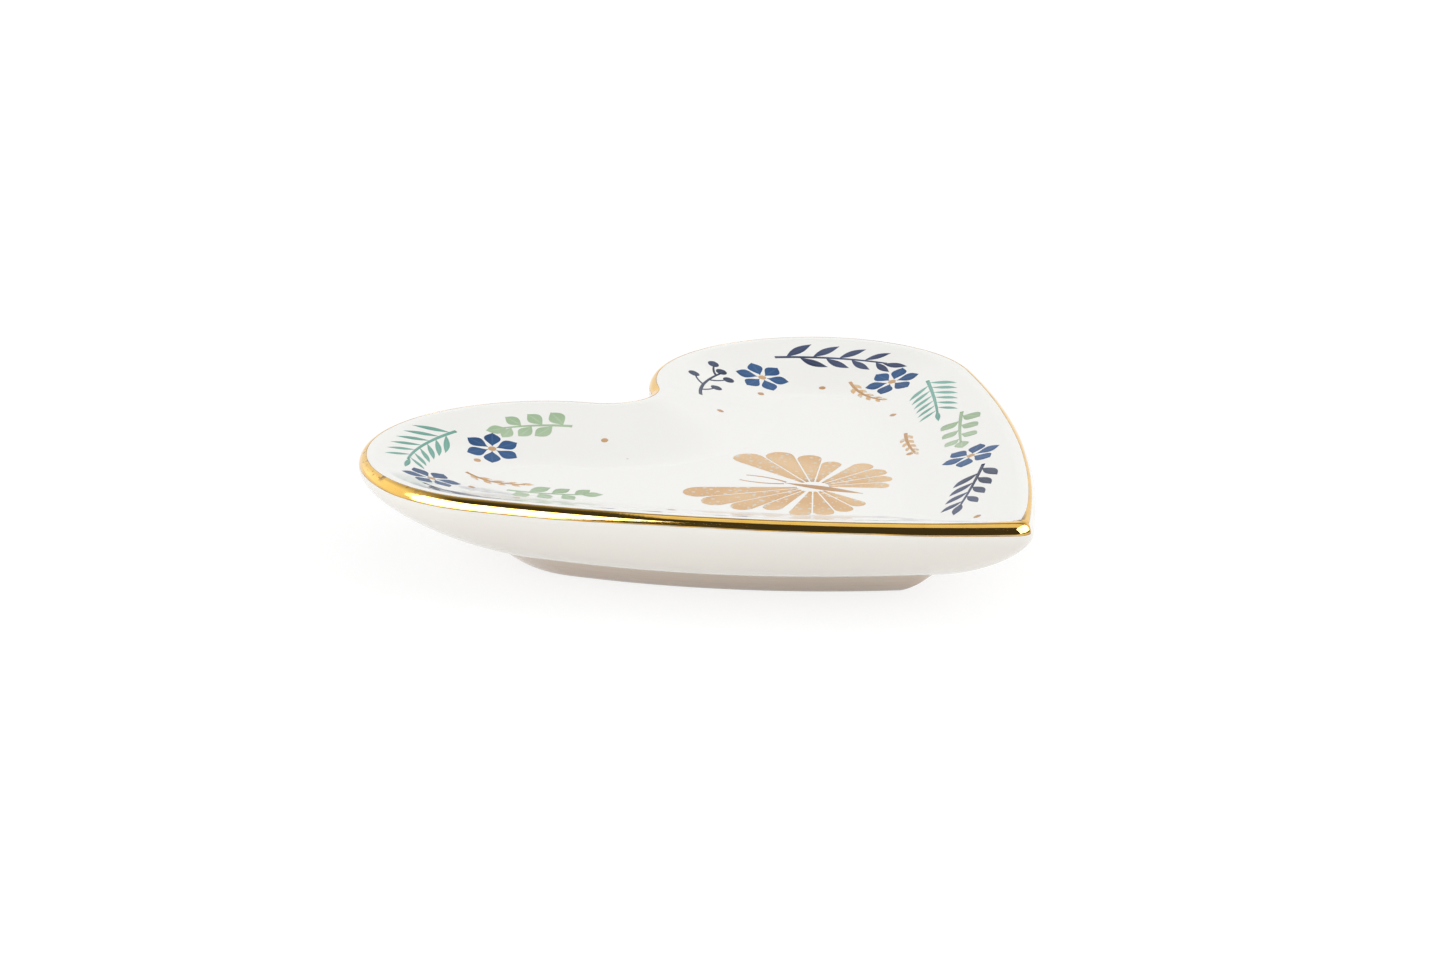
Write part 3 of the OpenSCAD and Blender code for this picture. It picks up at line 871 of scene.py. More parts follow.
@dataclass
class DishBody:
    """The cast porcelain: well, lip, bulge and foot ring.

    Beside each crisp edge an extra ring of points, the hold away, keeps the shading even. The rows
    count the rings of each part of the skin.
    """

    outline: Heart
    section: Section
    steps: tuple[int, int, int, int] = (14, 84, 76, 16)
    belly_fall: float = 3.2
    belly_sweep: float = 7.4
    belly_angle: float = 7
    foot: Heart = field(init=False)
    foot_width: float = 86
    foot_length: float = 75.5
    foot_back: float = 14
    foot_height: float = 5
    foot_slope: float = 6.6
    foot_round: float = 1
    foot_lobe: float = 21
    foot_notch: float = 4
    foot_side: float = 123
    foot_tip: float = 3.3
    land: float = 3.4
    land_round: float = 0.28
    recess: float = 3.8
    fillet: float = 0.8
    hold: float = 0.3
    cap_middle: float = 0.7
    wall_rows: int = 34
    wall_crowding: float = 1.25
    lip_rows: int = 10
    edge_rows: int = 19
    belly_rows: int = 36
    side_rows: int = 16
    round_rows: int = 4
    fillet_rows: int = 6

    def __post_init__(self) -> None:
        """Sets the foot ring's outline back from the dish's."""
        self.foot = Heart(
            self.foot_width, self.foot_length, self.outline.back - self.foot_back,
            self.foot_lobe, self.foot_notch, self.foot_side, self.foot_tip,
        )

    def level(self, outline: Heart, inset: float, height: float) -> Array:
        """One ring of the skin, at one height."""
        ring = outline.ring(inset, self.steps)
        return np.column_stack([ring, np.full(len(ring), height)])

    def upper_rings(self) -> list[Array]:
        """Shapes the well and the lip.

        Returns:
            Rings from the well's floor over the lip to the widest line.
        """
        section = self.section
        floor = [section.reach + 4 * self.hold, section.reach + self.hold]
        share = np.linspace(1, 0, self.wall_rows, endpoint=False) ** self.wall_crowding
        wall = section.lip + (section.reach - section.lip) * share
        lip = np.linspace(section.lip, section.crest_inset, self.lip_rows, endpoint=False)
        rings = [self.level(self.outline, d, float(section.height(d))) for d in [*floor, *wall, *lip]]
        for turn in np.linspace(0, 90, self.edge_rows):
            inset, height = section.over_lip(np.array(turn))
            rings.append(self.level(self.outline, float(inset), float(height)))
        return rings

    def bulge_rings(self) -> list[Array]:
        """Shapes the bulge, each point on its own sweep from the edge to the foot ring.

        Returns:
            Rings from the widest line to the foot.
        """
        edge = self.level(self.outline, 0, self.section.crest - self.section.crest_rise)
        foot = self.level(self.foot, 0, self.foot_height)
        out = (edge - foot)[:, :2]
        out /= np.linalg.norm(out, axis=1)[:, None]
        slope = math.radians(self.belly_angle)
        rise = np.full((len(out), 1), math.sin(slope))
        sweep = self.belly_sweep * np.hstack([out * math.cos(slope), rise])
        curve = [edge, edge - [0, 0, self.belly_fall], foot + sweep, foot]
        return [bezier(curve, t) for t in [*np.linspace(0.02, 0.97, self.belly_rows), 0.985, 0.995]]

    def foot_rings(self) -> list[Array]:
        """Shapes the foot's side, its land and the recess inside it.

        Returns:
            Rings from the foot's top to the recess.
        """
        slope, land = self.foot_slope, self.foot_slope + self.land
        corner = [np.array(p) for p in ([0, self.foot_height], [slope - self.foot_round, 0], [slope, 0])]
        side = [bezier(corner, t) for t in [0.0, 0.01, *np.linspace(0.04, 1, self.side_rows)]]
        soft, hold, top = self.land_round, self.hold, self.recess - self.fillet
        rows = [(p[0], p[1]) for p in side]
        rows += [(slope + hold, 0), (land - soft - hold, 0), (land - soft, 0)]
        rows += [
            (land - soft + soft * math.sin(a), soft * (1 - math.cos(a)))
            for a in np.linspace(0, math.pi / 2, self.round_rows)[1:]
        ]
        rows += [(land, soft + hold), (land, top - hold)]
        rows += [
            (land + self.fillet * (1 - math.cos(a)), top + self.fillet * math.sin(a))
            for a in np.linspace(0, math.pi / 2, self.fillet_rows)
        ]
        rows += [(land + self.fillet + hold, self.recess)]
        return [self.level(self.foot, inset, height) for inset, height in rows]

    def build(self, finish: PorcelainFinish) -> bpy.types.Object:
        """Builds and glazes the body.

        Args:
            finish: The glaze.

        Returns:
            The body.
        """
        piece = MeshPiece()
        rings = [*self.upper_rings(), *self.bulge_rings(), *self.foot_rings()]
        around = len(rings[0])
        start = piece.add(np.concatenate(rings))
        piece.grid(start, len(rings), around, round_columns=True, flip=True)
        for ring, flip in ((0, False), (len(rings) - 1, True)):
            middle = rings[ring][0] * (1 - self.cap_middle) + rings[ring][around // 2] * self.cap_middle
            first = start + ring * around
            piece.fan(piece.add(middle[None]), list(range(first, first + around)), flip)
        return piece.make("porcelain_body", [finish.build()], "glazed_porcelain", "porcelain_dish")


# ---- The painted gold line ----


@dataclass
class GoldLine:
    """The gold lustre that a brush leaves over the lip.

    Its edges are turns from the crest, in degrees: 90 is the outermost line, and less than 0 is inside
    the crest. Places along it are shares of the way round, from the notch by the right side. Both edges
    waver. The right side draws in to a thin line on the crest, the lustre gathers at the tip, and the
    brush dips at the left lobe. Of a pair, the first is for the outer edge and the second for the inner.
    """

    outline: Heart
    section: Section
    steps: tuple[int, int, int, int] = (20, 150, 180, 30)
    rows: int = 14
    outer: float = 71.0
    outermost: float = 79.0
    inner: float = 9.0
    film: float = 0.05
    film_edge: float = 0.03
    film_round: float = 0.35
    sunk: float = 0.06
    waver: float = 2.6
    wobbles: tuple[int, ...] = (5, 9, 17, 31, 53)
    lean: tuple[float, float] = (37.0, -6.0)
    lean_start: float = 0.3
    lean_rise: float = 0.06
    lean_end: float = 0.492
    lean_drop: float = 0.015
    pool: tuple[float, float] = (20.0, 62.0)
    tip_place: float = 0.5
    tip_width: tuple[float, float] = (0.08, 0.043)
    dip: float = 14.0
    dip_place: float = 0.77
    dip_width: float = 0.05

    def wave(self, around: Array, seed: int, size: float) -> Array:
        """A slow, closed wobble round the rim.

        Args:
            around: Share of the way round, from 0 to 1.
            seed: Which wobble.
            size: Its size in degrees.

        Returns:
            The wobble in degrees.
        """
        random = np.random.default_rng(seed)
        total = np.zeros_like(around)
        for turns in self.wobbles:
            share, start = random.uniform(0.4, 1), random.uniform()
            total += share * np.sin(2 * math.pi * (turns * around + start)) / turns**0.4
        return size * total / 1.6

    def pooling(self, around: Array, edge: int) -> Array:
        """How far an edge moves where the lustre gathers at the tip.

        Args:
            around: Share of the way round, from 0 to 1.
            edge: 0 for the outer edge, and 1 for the inner.

        Returns:
            Turns in degrees.
        """
        away = np.abs((around - self.tip_place) / self.tip_width[edge])
        return self.pool[edge] * np.exp(-(away**3))

    def build(self, finish: GoldFinish) -> bpy.types.Object:
        """Builds and gilds the line.

        Args:
            finish: The lustre.

        Returns:
            The gold line.
        """
        count = len(self.outline.ring(0, self.steps))
        around = np.arange(count) / count
        inward = np.clip((around - self.lean_start) / self.lean_rise, 0, 1)
        inward *= np.clip((self.lean_end - around) / self.lean_drop, 0, 1)
        low = self.outer + self.wave(around, 3, self.waver)
        low += self.dip * np.exp(-(((around - self.dip_place) / self.dip_width) ** 2))
        low -= self.lean[0] * inward
        low += (1 - inward) * self.pooling(around, 0)
        low = np.minimum(low, self.outermost)
        high = self.inner + self.wave(around, 8, self.waver * 0.8)
        high -= self.lean[1] * inward
        high -= self.pooling(around, 1)
        shares = np.linspace(0, 1, self.rows)
        over, under = [], []
        for share in shares:
            turn = low + (high - low) * share
            across = min(max(share, self.film_edge), 1 - self.film_edge)
            swell = math.sin(math.pi * across) ** self.film_round
            over.append(self.ring(turn, self.film * swell))
            under.append(self.ring(turn, -self.sunk))
        piece = MeshPiece()
        rows = [*shares, *shares[::-1]]
        ways = np.concatenate([np.column_stack([around, np.full(count, share)]) for share in rows])
        start = piece.add(np.concatenate([*over, *under[::-1]]), ways)
        piece.grid(start, 2 * self.rows, count, round_columns=True, round_rows=True)
        return piece.make("gilded_lip", [finish.build()], "gold_lustre", "gold_rim")

    def ring(self, turn: Array, off: float) -> Array:
        """Points over the lip, each at its own turn.

        Args:
            turn: Degrees from the crest, one a point.
            off: Distance out of the glaze.

        Returns:
            Points, one a row.
        """
        inset, height = self.section.over_lip(turn)
        ahead = self.section.over_lip(turn + 0.5)
        along = np.column_stack([inset - ahead[0], height - ahead[1]])
        normal = np.column_stack([-along[:, 1], along[:, 0]]) / np.linalg.norm(along, axis=1)[:, None]
        inset, height = inset + off * normal[:, 0], height + off * normal[:, 1]
        base = self.outline.ring(0, self.steps)
        inner = self.outline.ring(1, self.steps)
        return np.column_stack([base + (inner - base) * inset[:, None], height])


# ---- The transfers ----

Stroke = np.ndarray  # one row a step: x, y and half the width
Place = tuple[float, float, float, float]  # side, share of the way from notch to tip, inset and turn
Drawing = tuple[list[Stroke], list[Stroke]]  # shapes, and the lines that lie over them
Group = tuple[list[Stroke], Place | None]  # strokes, and their place if they aren't in place already
Sprig = tuple[Place, float, float]  # place, and the stem's length and bend


def turned(points: Array, degrees: float) -> Array:
    """Turns plane points about the origin."""
    c, s = unit(degrees)
    return points @ np.array([[c, s], [-s, c]])


def moved(stroke: Stroke, x: float, y: float, degrees: float) -> Stroke:
    """Moves a stroke to a point and a heading."""
    return np.column_stack([turned(stroke[:, :2], degrees) + [x, y], stroke[:, 2]])


def mirrored(stroke: Stroke, side: float) -> Stroke:
    """The same stroke on the other side of the X axis, where side is -1."""
    return stroke * [1, side, 1]


def arc(length: float, bend: float, share: Array | float) -> Array:
    """Points of an arc that starts at the origin along +X.

    Args:
        length: Its length.
        bend: How far it turns, in degrees.
        share: Shares of the way along it.

    Returns:
        One row a share: x, y and heading.
    """
    share = np.asarray(share, float)
    if abs(bend) < 0.01:
        return np.stack([length * share, 0 * share, 0 * share], axis=-1)
    radius = length / math.radians(bend)
    angle = np.radians(bend * share)
    return np.stack([radius * np.sin(angle), radius * (1 - np.cos(angle)), bend * share], axis=-1)


@dataclass(frozen=True)
class Brush:
    """Draws the shapes of the transfers from their roots at the origin towards +X."""

    stem_width: float = 0.66
    berry: float = 2.0
    heart_share: float = 0.42
    steps: int = 16
    rooted: float = 0.2
    vein: float = 0.26

    def stem(self, length: float, bend: float, width: float | None = None) -> Stroke:
        """A stem that thins towards its end.

        Args:
            length: Its length.
            bend: How far it turns, in degrees.
            width: Its width at the root, if it isn't the usual one.

        Returns:
            The stem.
        """
        share = np.linspace(0, 1, self.steps + 5)
        way = arc(length, bend, share)
        half = (self.stem_width if width is None else width) / 2 * (1 - 0.4 * share)
        return np.column_stack([way[:, :2], half])

    def leaf(self, length: float, width: float, bend: float = 0, belly: float = 0.5) -> Stroke:
        """A pointed leaf or petal.

        Args:
            length: Its length.
            width: Its greatest width.
            bend: How far it turns, in degrees.
            belly: Share of the length at which it is widest.

        Returns:
            The leaf.
        """
        share = (1 - np.cos(np.linspace(0, math.pi, self.steps))) / 2
        way = arc(length, bend, share)
        half = width / 2 * np.sin(math.pi * share ** (math.log(0.5) / math.log(belly)))
        return np.column_stack([way[:, :2], np.maximum(half, width * 0.03)])

    def dot(self, diameter: float) -> Stroke:
        """A round dot round the origin."""
        angle = np.radians(np.linspace(-86, 86, self.steps))
        return diameter / 2 * np.column_stack([np.sin(angle), 0 * angle, np.cos(angle)])

    def spray(self, length: float, bend: float, pairs: int, opening: float, leaf: tuple[float, float],
              belly: float = 0.5) -> Drawing:
        """A stem with leaves in pairs and one at its end.

        Args:
            length: Length of the stem.
            bend: How far it turns, in degrees.
            pairs: Pairs of leaves.
            opening: Angle between a leaf and the stem.
            leaf: Length and width of the largest leaf.
            belly: Where a leaf is widest.

        Returns:
            The leaves, and the stem by itself.
        """
        leaves = []
        for i in range(pairs):
            for side in (-1, 1):
                share = (i + 0.7 + 0.25 * side) / (pairs + 0.4)
                x, y, angle = arc(length, bend, share)
                off = turned(np.array([0, side * self.rooted * self.stem_width]), angle)
                small = 1 - 0.28 * share
                shape = self.leaf(leaf[0] * small, leaf[1] * small, -side * 14, belly)
                leaves.append(moved(shape, x + off[0], y + off[1], angle + side * opening))
        leaves.append(moved(self.leaf(leaf[0] * 0.8, leaf[1] * 0.8), *arc(length - self.stem_width, bend, 1)))
        return leaves, [self.stem(length, bend)]

    def berries(self, length: float, bend: float, count: int, stalk: float) -> Drawing:
        """A stem with berries on short curved stalks, at alternate sides.

        Args:
            length: Length of the stem.
            bend: How far it turns, in degrees.
            count: How many berries stand at its sides.
            stalk: Length of a stalk.

        Returns:
            The berries, and the stems by themselves.
        """
        gap = self.berry / 2 - 0.2
        fruit = [moved(self.dot(self.berry), *arc(length + gap, bend, 1))]
        stems = [self.stem(length, bend)]
        for i in range(count):
            side = 1 if i % 2 == 0 else -1
            x, y, angle = arc(length, bend, 0.25 + 0.65 * i / (count - 1))
            root = (x, y, angle + side * 52)
            end = arc(stalk + gap, -side * 30, 1)
            stems.append(moved(self.stem(stalk, -side * 30, self.stem_width * 0.8), *root))
            fruit.append(moved(moved(self.dot(self.berry), *end), *root))
        return fruit, stems

    def blossom(self, diameter: float, petals: int) -> list[Stroke]:
        """Pointed petals round an open middle.

        Args:
            diameter: The blossom's diameter.
            petals: How many petals.

        Returns:
            The petals.
        """
        root = self.berry * self.heart_share
        petal = self.leaf(diameter / 2 - root, diameter * 0.3, 0, 0.58)
        angles = [360 * i / petals for i in range(petals)]
        return [moved(petal, *(root * unit(a)), a) for a in angles]

    def wing(self, root: float, reach: float, cells: int, start: float, end: float,
             shrink: float) -> list[Stroke]:
        """One wing in cells that fan out from the body, the first one the longest.

        Args:
            root: Where the cells start.
            reach: The longest cell's reach.
            cells: How many cells.
            start: The fan's first angle.
            end: Its last angle.
            shrink: The shortest cell's share of the reach.

        Returns:
            The cells.
        """
        opening = (end - start) / cells
        turn = np.linspace(0, math.pi / 2, 14)
        share = np.concatenate([np.linspace(0, 0.82, 9)[:-1], 0.82 + 0.18 * np.sin(turn)])
        rounded = np.concatenate([np.ones(8), np.maximum(np.cos(turn), 0.03)])
        strokes = []
        for i in range(cells):
            length = reach * (1 + (shrink - 1) * (i / (cells - 1)) ** 1.4)
            r = root + (length - root) * share
            half = (r * math.tan(math.radians(opening / 2)) - self.vein / 2) * rounded
            strokes.append(moved(np.column_stack([r, 0 * r, half]), 0, 0, start + opening * (i + 0.5)))
        return strokes

    def butterfly(self, span: float) -> Drawing:
        """A butterfly with its head towards +X.

        Args:
            span: The span of its wings.

        Returns:
            The wings' cells, and the body and feelers.
        """
        cells, lines = [], [moved(self.leaf(span * 0.36, span * 0.05), -span * 0.23, 0, 0)]
        for side in (-1, 1):
            root = span * 0.07
            fore = self.wing(root, span * 0.56, 4, 24, 90, 0.66)
            hind = self.wing(root, span * 0.41, 4, 96, 160, 0.8)
            cells += [mirrored(cell, side) for cell in fore + hind]
            feeler = moved(self.stem(span * 0.2, -34, self.stem_width * 0.7), span * 0.13, span * 0.012, 24)
            lines.append(mirrored(feeler, side))
        return cells, lines


@dataclass
class TransferSheet:
    """The transfers in the well, one piece an ink, each draped on the glaze under it."""

    outline: Heart
    section: Section
    brush: Brush = Brush()
    film: float = 0.026
    line_film: float = 0.036
    sunk: float = 0.05
    columns: int = 7
    butterfly_span: float = 38
    butterfly_back: float = 61.5
    butterfly_turn: float = 24
    blossom_size: float = 9.5

    NAVY: ClassVar[tuple[Sprig, ...]] = (
        ((1, 0.27, 7.5, 6), 21, 46), ((-1, 0.435, 7.5, 10), 20, 34), ((1, 0.81, 7.5, 14), 18, 4),
    )
    BERRIES: ClassVar[tuple[Sprig, ...]] = (((1, 0.055, 9, 0), 14, 40), ((-1, 0.60, 8, 16), 17, -10))
    BLOSSOMS: ClassVar[tuple[Place, ...]] = (
        (-1, 0.18, 14, 0), (-1, 0.395, 11, 20), (-1, 0.755, 10, 10),
        (1, 0.225, 13, 40), (1, 0.475, 12, 0), (1, 0.775, 9, 25),
    )
    SAGE: ClassVar[tuple[Sprig, ...]] = (
        ((-1, 0.05, 8.5, 0), 12, 36), ((1, 0.645, 7, 16), 15, -8), ((-1, 0.47, 22, 20), 13, 20),
    )
    FRONDS: ClassVar[tuple[Sprig, ...]] = (
        ((-1, 0.205, 7.5, 4), 17, 40), ((1, 0.525, 8, 10), 17, 6), ((-1, 0.79, 7.5, 16), 18, -4),
    )
    EARS: ClassVar[tuple[Sprig, ...]] = (
        ((1, 0.40, 15, 48), 11, -30), ((-1, 0.31, 17, 60), 11, 30), ((1, 0.655, 17, 10), 11, -16),
    )
    SPECKS: ClassVar[tuple[tuple[float, float, float], ...]] = (
        (-1, 0.03, 12), (1, 0.03, 12), (-1, 0.235, 16), (1, 0.17, 17.5), (1, 0.345, 18), (-1, 0.42, 17),
        (-1, 0.54, 17), (1, 0.59, 17), (-1, 0.69, 18.5), (1, 0.72, 18), (-1, 0.94, 7), (1, 0.955, 9),
    )

    def lay(self, stroke: Stroke, place: Place) -> Stroke:
        """Lays a stroke in the well.

        Args:
            stroke: A stroke with x along the rim, towards the tip, and y inward.
            place: Its side, share of the way round, inset and turn.

        Returns:
            The stroke in the dish's own frame.
        """
        side, share, inset, turn = place
        spot, inward = self.outline.place(share, inset)
        q = turned(stroke[:, :2], turn)
        points = spot + q[:, :1] * unit(inward + 90) + q[:, 1:] * unit(inward)
        return np.column_stack([points * [side, 1], stroke[:, 2]])

    def drape(self, piece: MeshPiece, stroke: Stroke, film: float, slot: int) -> None:
        """Adds one stroke as a thin closed film on the glaze.

        Args:
            piece: The piece to add it to.
            stroke: The stroke in the dish's own frame.
            film: How far its middle stands off the glaze.
            slot: Its material slot.
        """
        ahead = np.gradient(stroke[:, :2], axis=0)
        ahead /= np.linalg.norm(ahead, axis=1)[:, None]
        normal = np.column_stack([-ahead[:, 1], ahead[:, 0]])
        across = np.sin(np.linspace(-math.pi / 2, math.pi / 2, self.columns))
        offsets = across[None, :, None] * stroke[:, None, 2:] * normal[:, None]
        flat = (stroke[:, None, :2] + offsets).reshape(-1, 2)
        glaze = self.section.height(self.outline.insets(flat, self.section.reach))
        along = np.repeat(np.linspace(0, 1, len(stroke)), self.columns)
        way = np.column_stack([along, np.tile((across + 1) / 2, len(stroke))])
        swell = np.tile(1 - np.abs(across) ** 6, len(stroke))
        rows = len(stroke)
        top = piece.add(np.column_stack([flat, glaze + film * swell]), way)
        piece.grid(top, rows, self.columns, flip=True, slot=slot)
        base = piece.add(np.column_stack([flat, glaze - self.sunk]), way)
        piece.grid(base, rows, self.columns, slot=slot)
        last = rows * self.columns
        rim = [
            *range(0, self.columns - 1), *range(self.columns - 1, last - 1, self.columns),
            *range(last - 1, last - self.columns, -1), *range(last - self.columns, 0, -self.columns),
        ]
        for a, b in zip(rim, rim[1:] + rim[:1]):
            piece.faces.append((top + b, top + a, base + a, base + b))
            piece.slots.append(slot)

    def make(self, name: str, groups: list[Group], inks: list[InkFinish], slot: str,
             replaced: str) -> bpy.types.Object:
        """Makes one transfer.

        Args:
            name: The piece's name.
            groups: The strokes. Even groups are shapes, and odd groups are the lines over them.
            inks: One ink, or the ink of the shapes and the ink of the lines.
            slot: The record's material slot.
            replaced: The solid that it stands for.

        Returns:
            The transfer.
        """
        piece = MeshPiece()
        for number, (strokes, place) in enumerate(groups):
            film = self.line_film if number % 2 else self.film
            for stroke in strokes:
                laid = stroke if place is None else self.lay(stroke, place)
                self.drape(piece, laid, film, number % len(inks))
        return piece.make(name, [ink.build() for ink in inks], slot, replaced)

    def sprays(self, sprigs: tuple[Sprig, ...], pairs: int, opening: float, leaf: tuple[float, float],
               belly: float = 0.5) -> list[Group]:
        """Lays leafy sprays round the well.

        Args:
            sprigs: Their places, lengths and bends.
            pairs: Pairs of leaves on each.
            opening: Angle between a leaf and the stem.
            leaf: Length and width of the largest leaf.
            belly: Where a leaf is widest.

        Returns:
            The leaves and the stem of each in turn.
        """
        return [
            (strokes, place)
            for place, length, bend in sprigs
            for strokes in self.brush.spray(length, bend, pairs, opening, leaf, belly)
        ]

    def butterfly(self) -> bpy.types.Object:
        """Makes the gold butterfly on the dish's axis.

        Returns:
            The transfer.
        """
        spot = (0, self.outline.back - self.butterfly_back, 90 + self.butterfly_turn)
        cells, lines = self.brush.butterfly(self.butterfly_span)
        groups = [([moved(s, *spot) for s in strokes], None) for strokes in (cells, lines)]
        inks = [Ink.GOLD.value, Ink.GOLD_LINE.value]
        return self.make("butterfly_transfer", groups, inks, "gold_ink", "transfer_gold_butterfly")

    def navy_sprigs(self) -> bpy.types.Object:
        """Makes the leaf sprays and berry stems in navy.

        Returns:
            The transfer.
        """
        groups = self.sprays(self.NAVY, 4, 40, (6.2, 1.9))
        for place, length, bend in self.BERRIES:
            groups += [(s, place) for s in self.brush.berries(length, bend, 4, 3.4)]
        return self.make("navy_transfer", groups, [Ink.NAVY.value], "navy_ink", "transfer_navy_sprigs")

    def blue_blossoms(self) -> bpy.types.Object:
        """Makes the six-petalled blossoms in blue.

        Returns:
            The transfer.
        """
        groups = []
        for place in self.BLOSSOMS:
            groups += [(self.brush.blossom(self.blossom_size, 6), place), ([], None)]
        return self.make("blossom_transfer", groups, [Ink.BLUE.value], "blue_ink", "transfer_blue_blossoms")

    def sage_sprays(self) -> bpy.types.Object:
        """Makes the broad-leaved sprays in sage."""
        groups = self.sprays(self.SAGE, 3, 55, (4.4, 3), 0.56)
        return self.make("sage_transfer", groups, [Ink.SAGE.value], "sage_ink", "transfer_sage_sprays")

    def teal_fronds(self) -> bpy.types.Object:
        """Makes the narrow-leaved fronds in teal."""
        groups = self.sprays(self.FRONDS, 6, 48, (6.4, 1.1))
        return self.make("teal_transfer", groups, [Ink.TEAL.value], "teal_ink", "transfer_teal_fronds")

    def gold_accents(self) -> bpy.types.Object:
        """Makes the ears of grain, the blossoms' hearts and the scattered specks in gold.

        Returns:
            The transfer.
        """
        groups = self.sprays(self.EARS, 4, 28, (2.6, 1))
        hearts = [(self.brush.dot(self.brush.berry * 0.7), place) for place in self.BLOSSOMS]
        specks = [(self.brush.dot(self.brush.berry * 0.6), (*place, 0)) for place in self.SPECKS]
        for dot, place in [*hearts, *specks]:
            groups += [([], None), ([dot], place)]
        inks = [Ink.GOLD.value, Ink.GOLD_LINE.value]
        return self.make("accent_transfer", groups, inks, "gold_ink", "transfer_gold_accents")

    def build(self) -> list[bpy.types.Object]:
        """Makes every transfer.

        Returns:
            The transfers.
        """
        return [
            self.butterfly(), self.navy_sprigs(), self.blue_blossoms(), self.sage_sprays(),
            self.teal_fronds(), self.gold_accents(),
        ]


# ---- The studio ----


@dataclass(frozen=True)
class Stand:
    """A place that faces a point: azimuth 0 is out from the tip, along -Y. Degrees and metres."""

    azimuth: float
    elevation: float
    distance: float
    facing: tuple[float, float, float] = (0.0, 0.0, 0.0)

    def hold(self, name: str, data: bpy.types.Camera | bpy.types.Light) -> bpy.types.Object:
        """Puts a camera or a lamp here.

        Args:
            name: Its name.
            data: The camera's or the lamp's settings.

        Returns:
            Its object.
        """
        a, e = math.radians(self.azimuth), math.radians(self.elevation)
        back = Vector((math.sin(a) * math.cos(e), -math.cos(a) * math.cos(e), math.sin(e)))
        made = bpy.data.objects.new(name, data)
        made.location = Vector(self.facing) + back * self.distance
        made.rotation_mode = "QUATERNION"
        made.rotation_quaternion = (-back).to_track_quat("-Z", "Y")
        bpy.context.scene.collection.objects.link(made)
        return made


@dataclass(frozen=True)
class Lamp:
    """A softbox, in metres and watts. A strip is one that only the gold line mirrors."""

    name: str
    stand: Stand
    width: float
    height: float
    power: float
    strip: bool = False

    def hang(self, gilded: bpy.types.Object) -> None:
        """Hangs the lamp.

        Args:
            gilded: The gold line.
        """
        data = bpy.data.lights.new(self.name, "AREA")
        data.shape = "RECTANGLE"
        data.size, data.size_y = self.width, self.height
        data.energy = self.power
        lamp = self.stand.hold(self.name, data)
        if self.strip:
            lamp.visible_diffuse = False
            lamp.light_linking.receiver_collection = bpy.data.collections.new(self.name)
            lamp.light_linking.receiver_collection.objects.link(gilded)


@dataclass(frozen=True)
class Wall:
    """A wall that only reflections show: its azimuth, how it fades in as they turn to it, and its white."""

    azimuth: float
    fade: tuple[float, float]
    white: float

    def seen(self, x: Value, y: Value) -> Value:
        """Its brightness in a direction.

        Args:
            x: The direction's x.
            y: The direction's y.

        Returns:
            The brightness, from 0 to the wall's white.
        """
        angle = math.radians(self.azimuth)
        return (x * math.sin(angle) - y * math.cos(angle)).ramp(*self.fade) * self.white


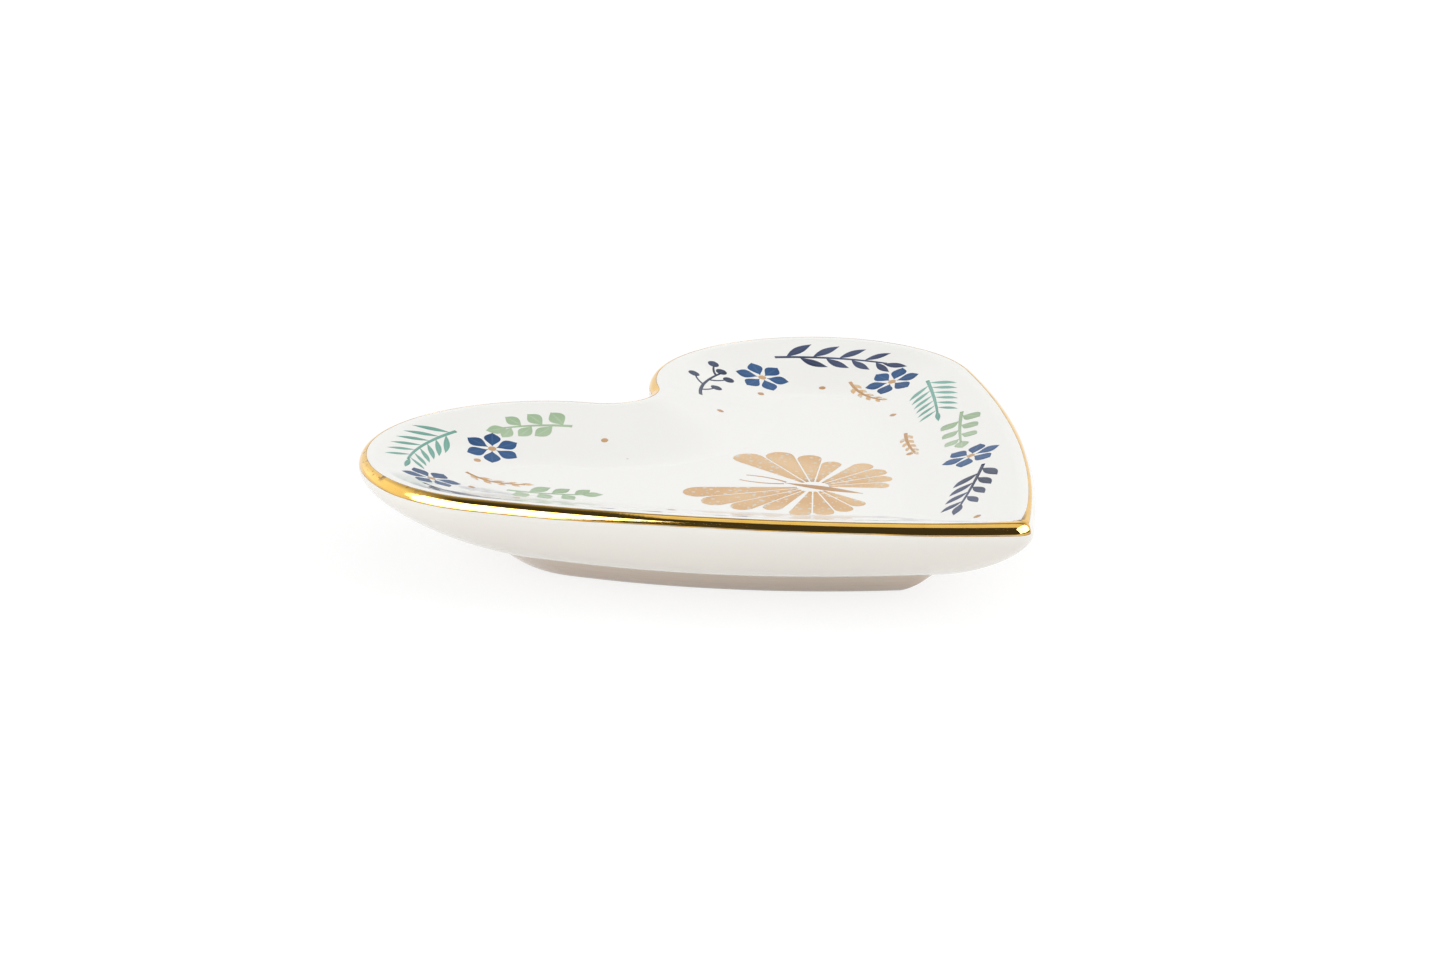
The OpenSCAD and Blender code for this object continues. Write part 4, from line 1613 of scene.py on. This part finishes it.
@dataclass
class Studio:
    """Camera, white floor, soft lamps and a bright surrounding.

    The floor and the world are white to the camera. On the dish the floor bounces a warm, weaker light
    and the world gives an even fill. The gold and the glaze mirror the walls and the low backdrop.
    """

    viewpoint: Stand = Stand(-41.91, 17.76, 519.3 * MM, (-20.34 * MM, -7.68 * MM, 17.7 * MM))
    focal_pixels: float = 3293.0
    image_width: float = 1445
    sensor: float = 36.0
    lamps: tuple[Lamp, ...] = (
        Lamp("left_softbox", Stand(-102, 25, 1.1), 1.2, 0.46, 4.4),
        Lamp("top_softbox", Stand(40, 80, 1.2), 1.05, 1.05, 3.1),
        Lamp("tip_card", Stand(38, 31, 1.0), 0.8, 0.7, 3.4),
        Lamp("left_strip", Stand(-99, 22, 1.05), 1.0, 0.85, 18.5, strip=True),
        Lamp("tip_strip", Stand(26, 36, 0.95), 1.2, 0.75, 15.5, strip=True),
    )
    floor_half: float = 3.0
    floor_white: float = 1.04
    floor_shaded: Colour = (0.97, 0.97, 0.97)
    floor_bounce: Colour = (0.9, 0.865, 0.82)
    shadow_share: float = 0.2
    shadow_end: tuple[float, float] = (0.12, 0.4)
    walls: tuple[Wall, ...] = (Wall(-148, (0.5, 0.85), 0.95), Wall(148, (0.1, 0.8), 0.4))
    backdrop: Wall = Wall(148, (-0.1, 0.3), 1.0)
    backdrop_top: tuple[float, float] = (0.86, 0.5)
    gloom: float = 0.05
    fill: float = 0.58

    def camera(self) -> None:
        """Places the camera where the photograph was taken from."""
        data = bpy.data.cameras.new("camera")
        data.sensor_width = self.sensor
        data.lens = self.focal_pixels * self.sensor / self.image_width
        data.clip_start, data.clip_end = 0.01, 50
        bpy.context.scene.camera = self.viewpoint.hold("camera", data)

    def floor(self) -> None:
        """Lays the floor, white with a faint shadow to the camera and in reflections."""
        made, shader = Shader.material("floor")
        rays = shader.node("LightPath")
        seen = shader.value(rays, "Is Camera Ray").most(shader.value(rays, "Is Glossy Ray"))
        bounce = shader.node("BsdfDiffuse", inputs={"Color": self.floor_bounce})
        shade = shader.node("BsdfDiffuse", inputs={"Color": self.floor_shaded})
        white = shader.node("Emission", inputs={"Color": (1, 1, 1), "Strength": self.floor_white})
        length = shader.node("VectorMath", {"operation": "LENGTH"}, {0: shader.place()[0]})
        away = shader.value(length, "Value")
        share = away.ramp(*self.shadow_end) * self.shadow_share + (1 - self.shadow_share)
        shown = shader.node("MixShader", inputs={0: share, 1: shade.outputs[0], 2: white.outputs[0]})
        mixed = shader.node("MixShader", inputs={0: seen, 1: bounce.outputs[0], 2: shown.outputs[0]})
        shader.node("OutputMaterial", inputs={"Surface": mixed.outputs[0]})
        half = self.floor_half
        corners = [(-half, -half, 0), (half, -half, 0), (half, half, 0), (-half, half, 0)]
        mesh = bpy.data.meshes.new("floor")
        mesh.from_pydata(corners, [], [(0, 1, 2, 3)])
        mesh.materials.append(made)
        floor = bpy.data.objects.new("floor", mesh)
        bpy.context.scene.collection.objects.link(floor)

    def surroundings(self) -> None:
        """Sets the world: white to the camera, an even fill on the dish, and walls in its reflections."""
        world = bpy.data.worlds.new("studio")
        bpy.context.scene.world = world
        world.use_nodes = True
        shader = Shader(world.node_tree)
        rays = shader.node("LightPath")
        seen = shader.value(rays, "Is Camera Ray").most(shader.value(rays, "Is Transmission Ray"))
        mirrored_ray = shader.value(rays, "Is Glossy Ray")
        way = shader.node("SeparateXYZ", inputs={0: shader.node("TexCoord").outputs["Generated"]})
        x, y, z = (shader.value(way, i) for i in range(3))
        left, right = (wall.seen(x, y) for wall in self.walls)
        backdrop = self.backdrop.seen(x, y) * z.ramp(*self.backdrop_top)
        bright = (left + right + self.gloom).most(backdrop)
        strength = mirrored_ray * bright + (1 - mirrored_ray) * self.fill
        strength = seen + (1 - seen) * strength
        back = shader.node("Background", inputs={"Color": (1, 1, 1), "Strength": strength})
        shader.node("OutputWorld", inputs={"Surface": back.outputs[0]})

    def build(self, gilded: bpy.types.Object) -> None:
        """Sets up the whole studio.

        Args:
            gilded: The gold line, which alone mirrors the two strips.
        """
        bpy.context.scene.view_settings.view_transform = "Standard"
        self.camera()
        self.floor()
        self.surroundings()
        for lamp in self.lamps:
            lamp.hang(gilded)


def main() -> None:
    """Builds the dish and its studio, piece by piece."""
    logging.basicConfig(level=logging.INFO, format="%(name)s: %(message)s")
    low, high = (np.array(corner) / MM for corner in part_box("porcelain_dish"))
    width, length, height = high - low
    outline = Heart(width, length, float(high[1]), **DISH_ARCS)
    section = Section(crest=float(height))
    DishBody(outline, section).build(PorcelainFinish())
    gilded = GoldLine(outline, section).build(GoldFinish())
    TransferSheet(outline, section).build()
    Studio().build(gilded)


if __name__ == "__main__":
    main()
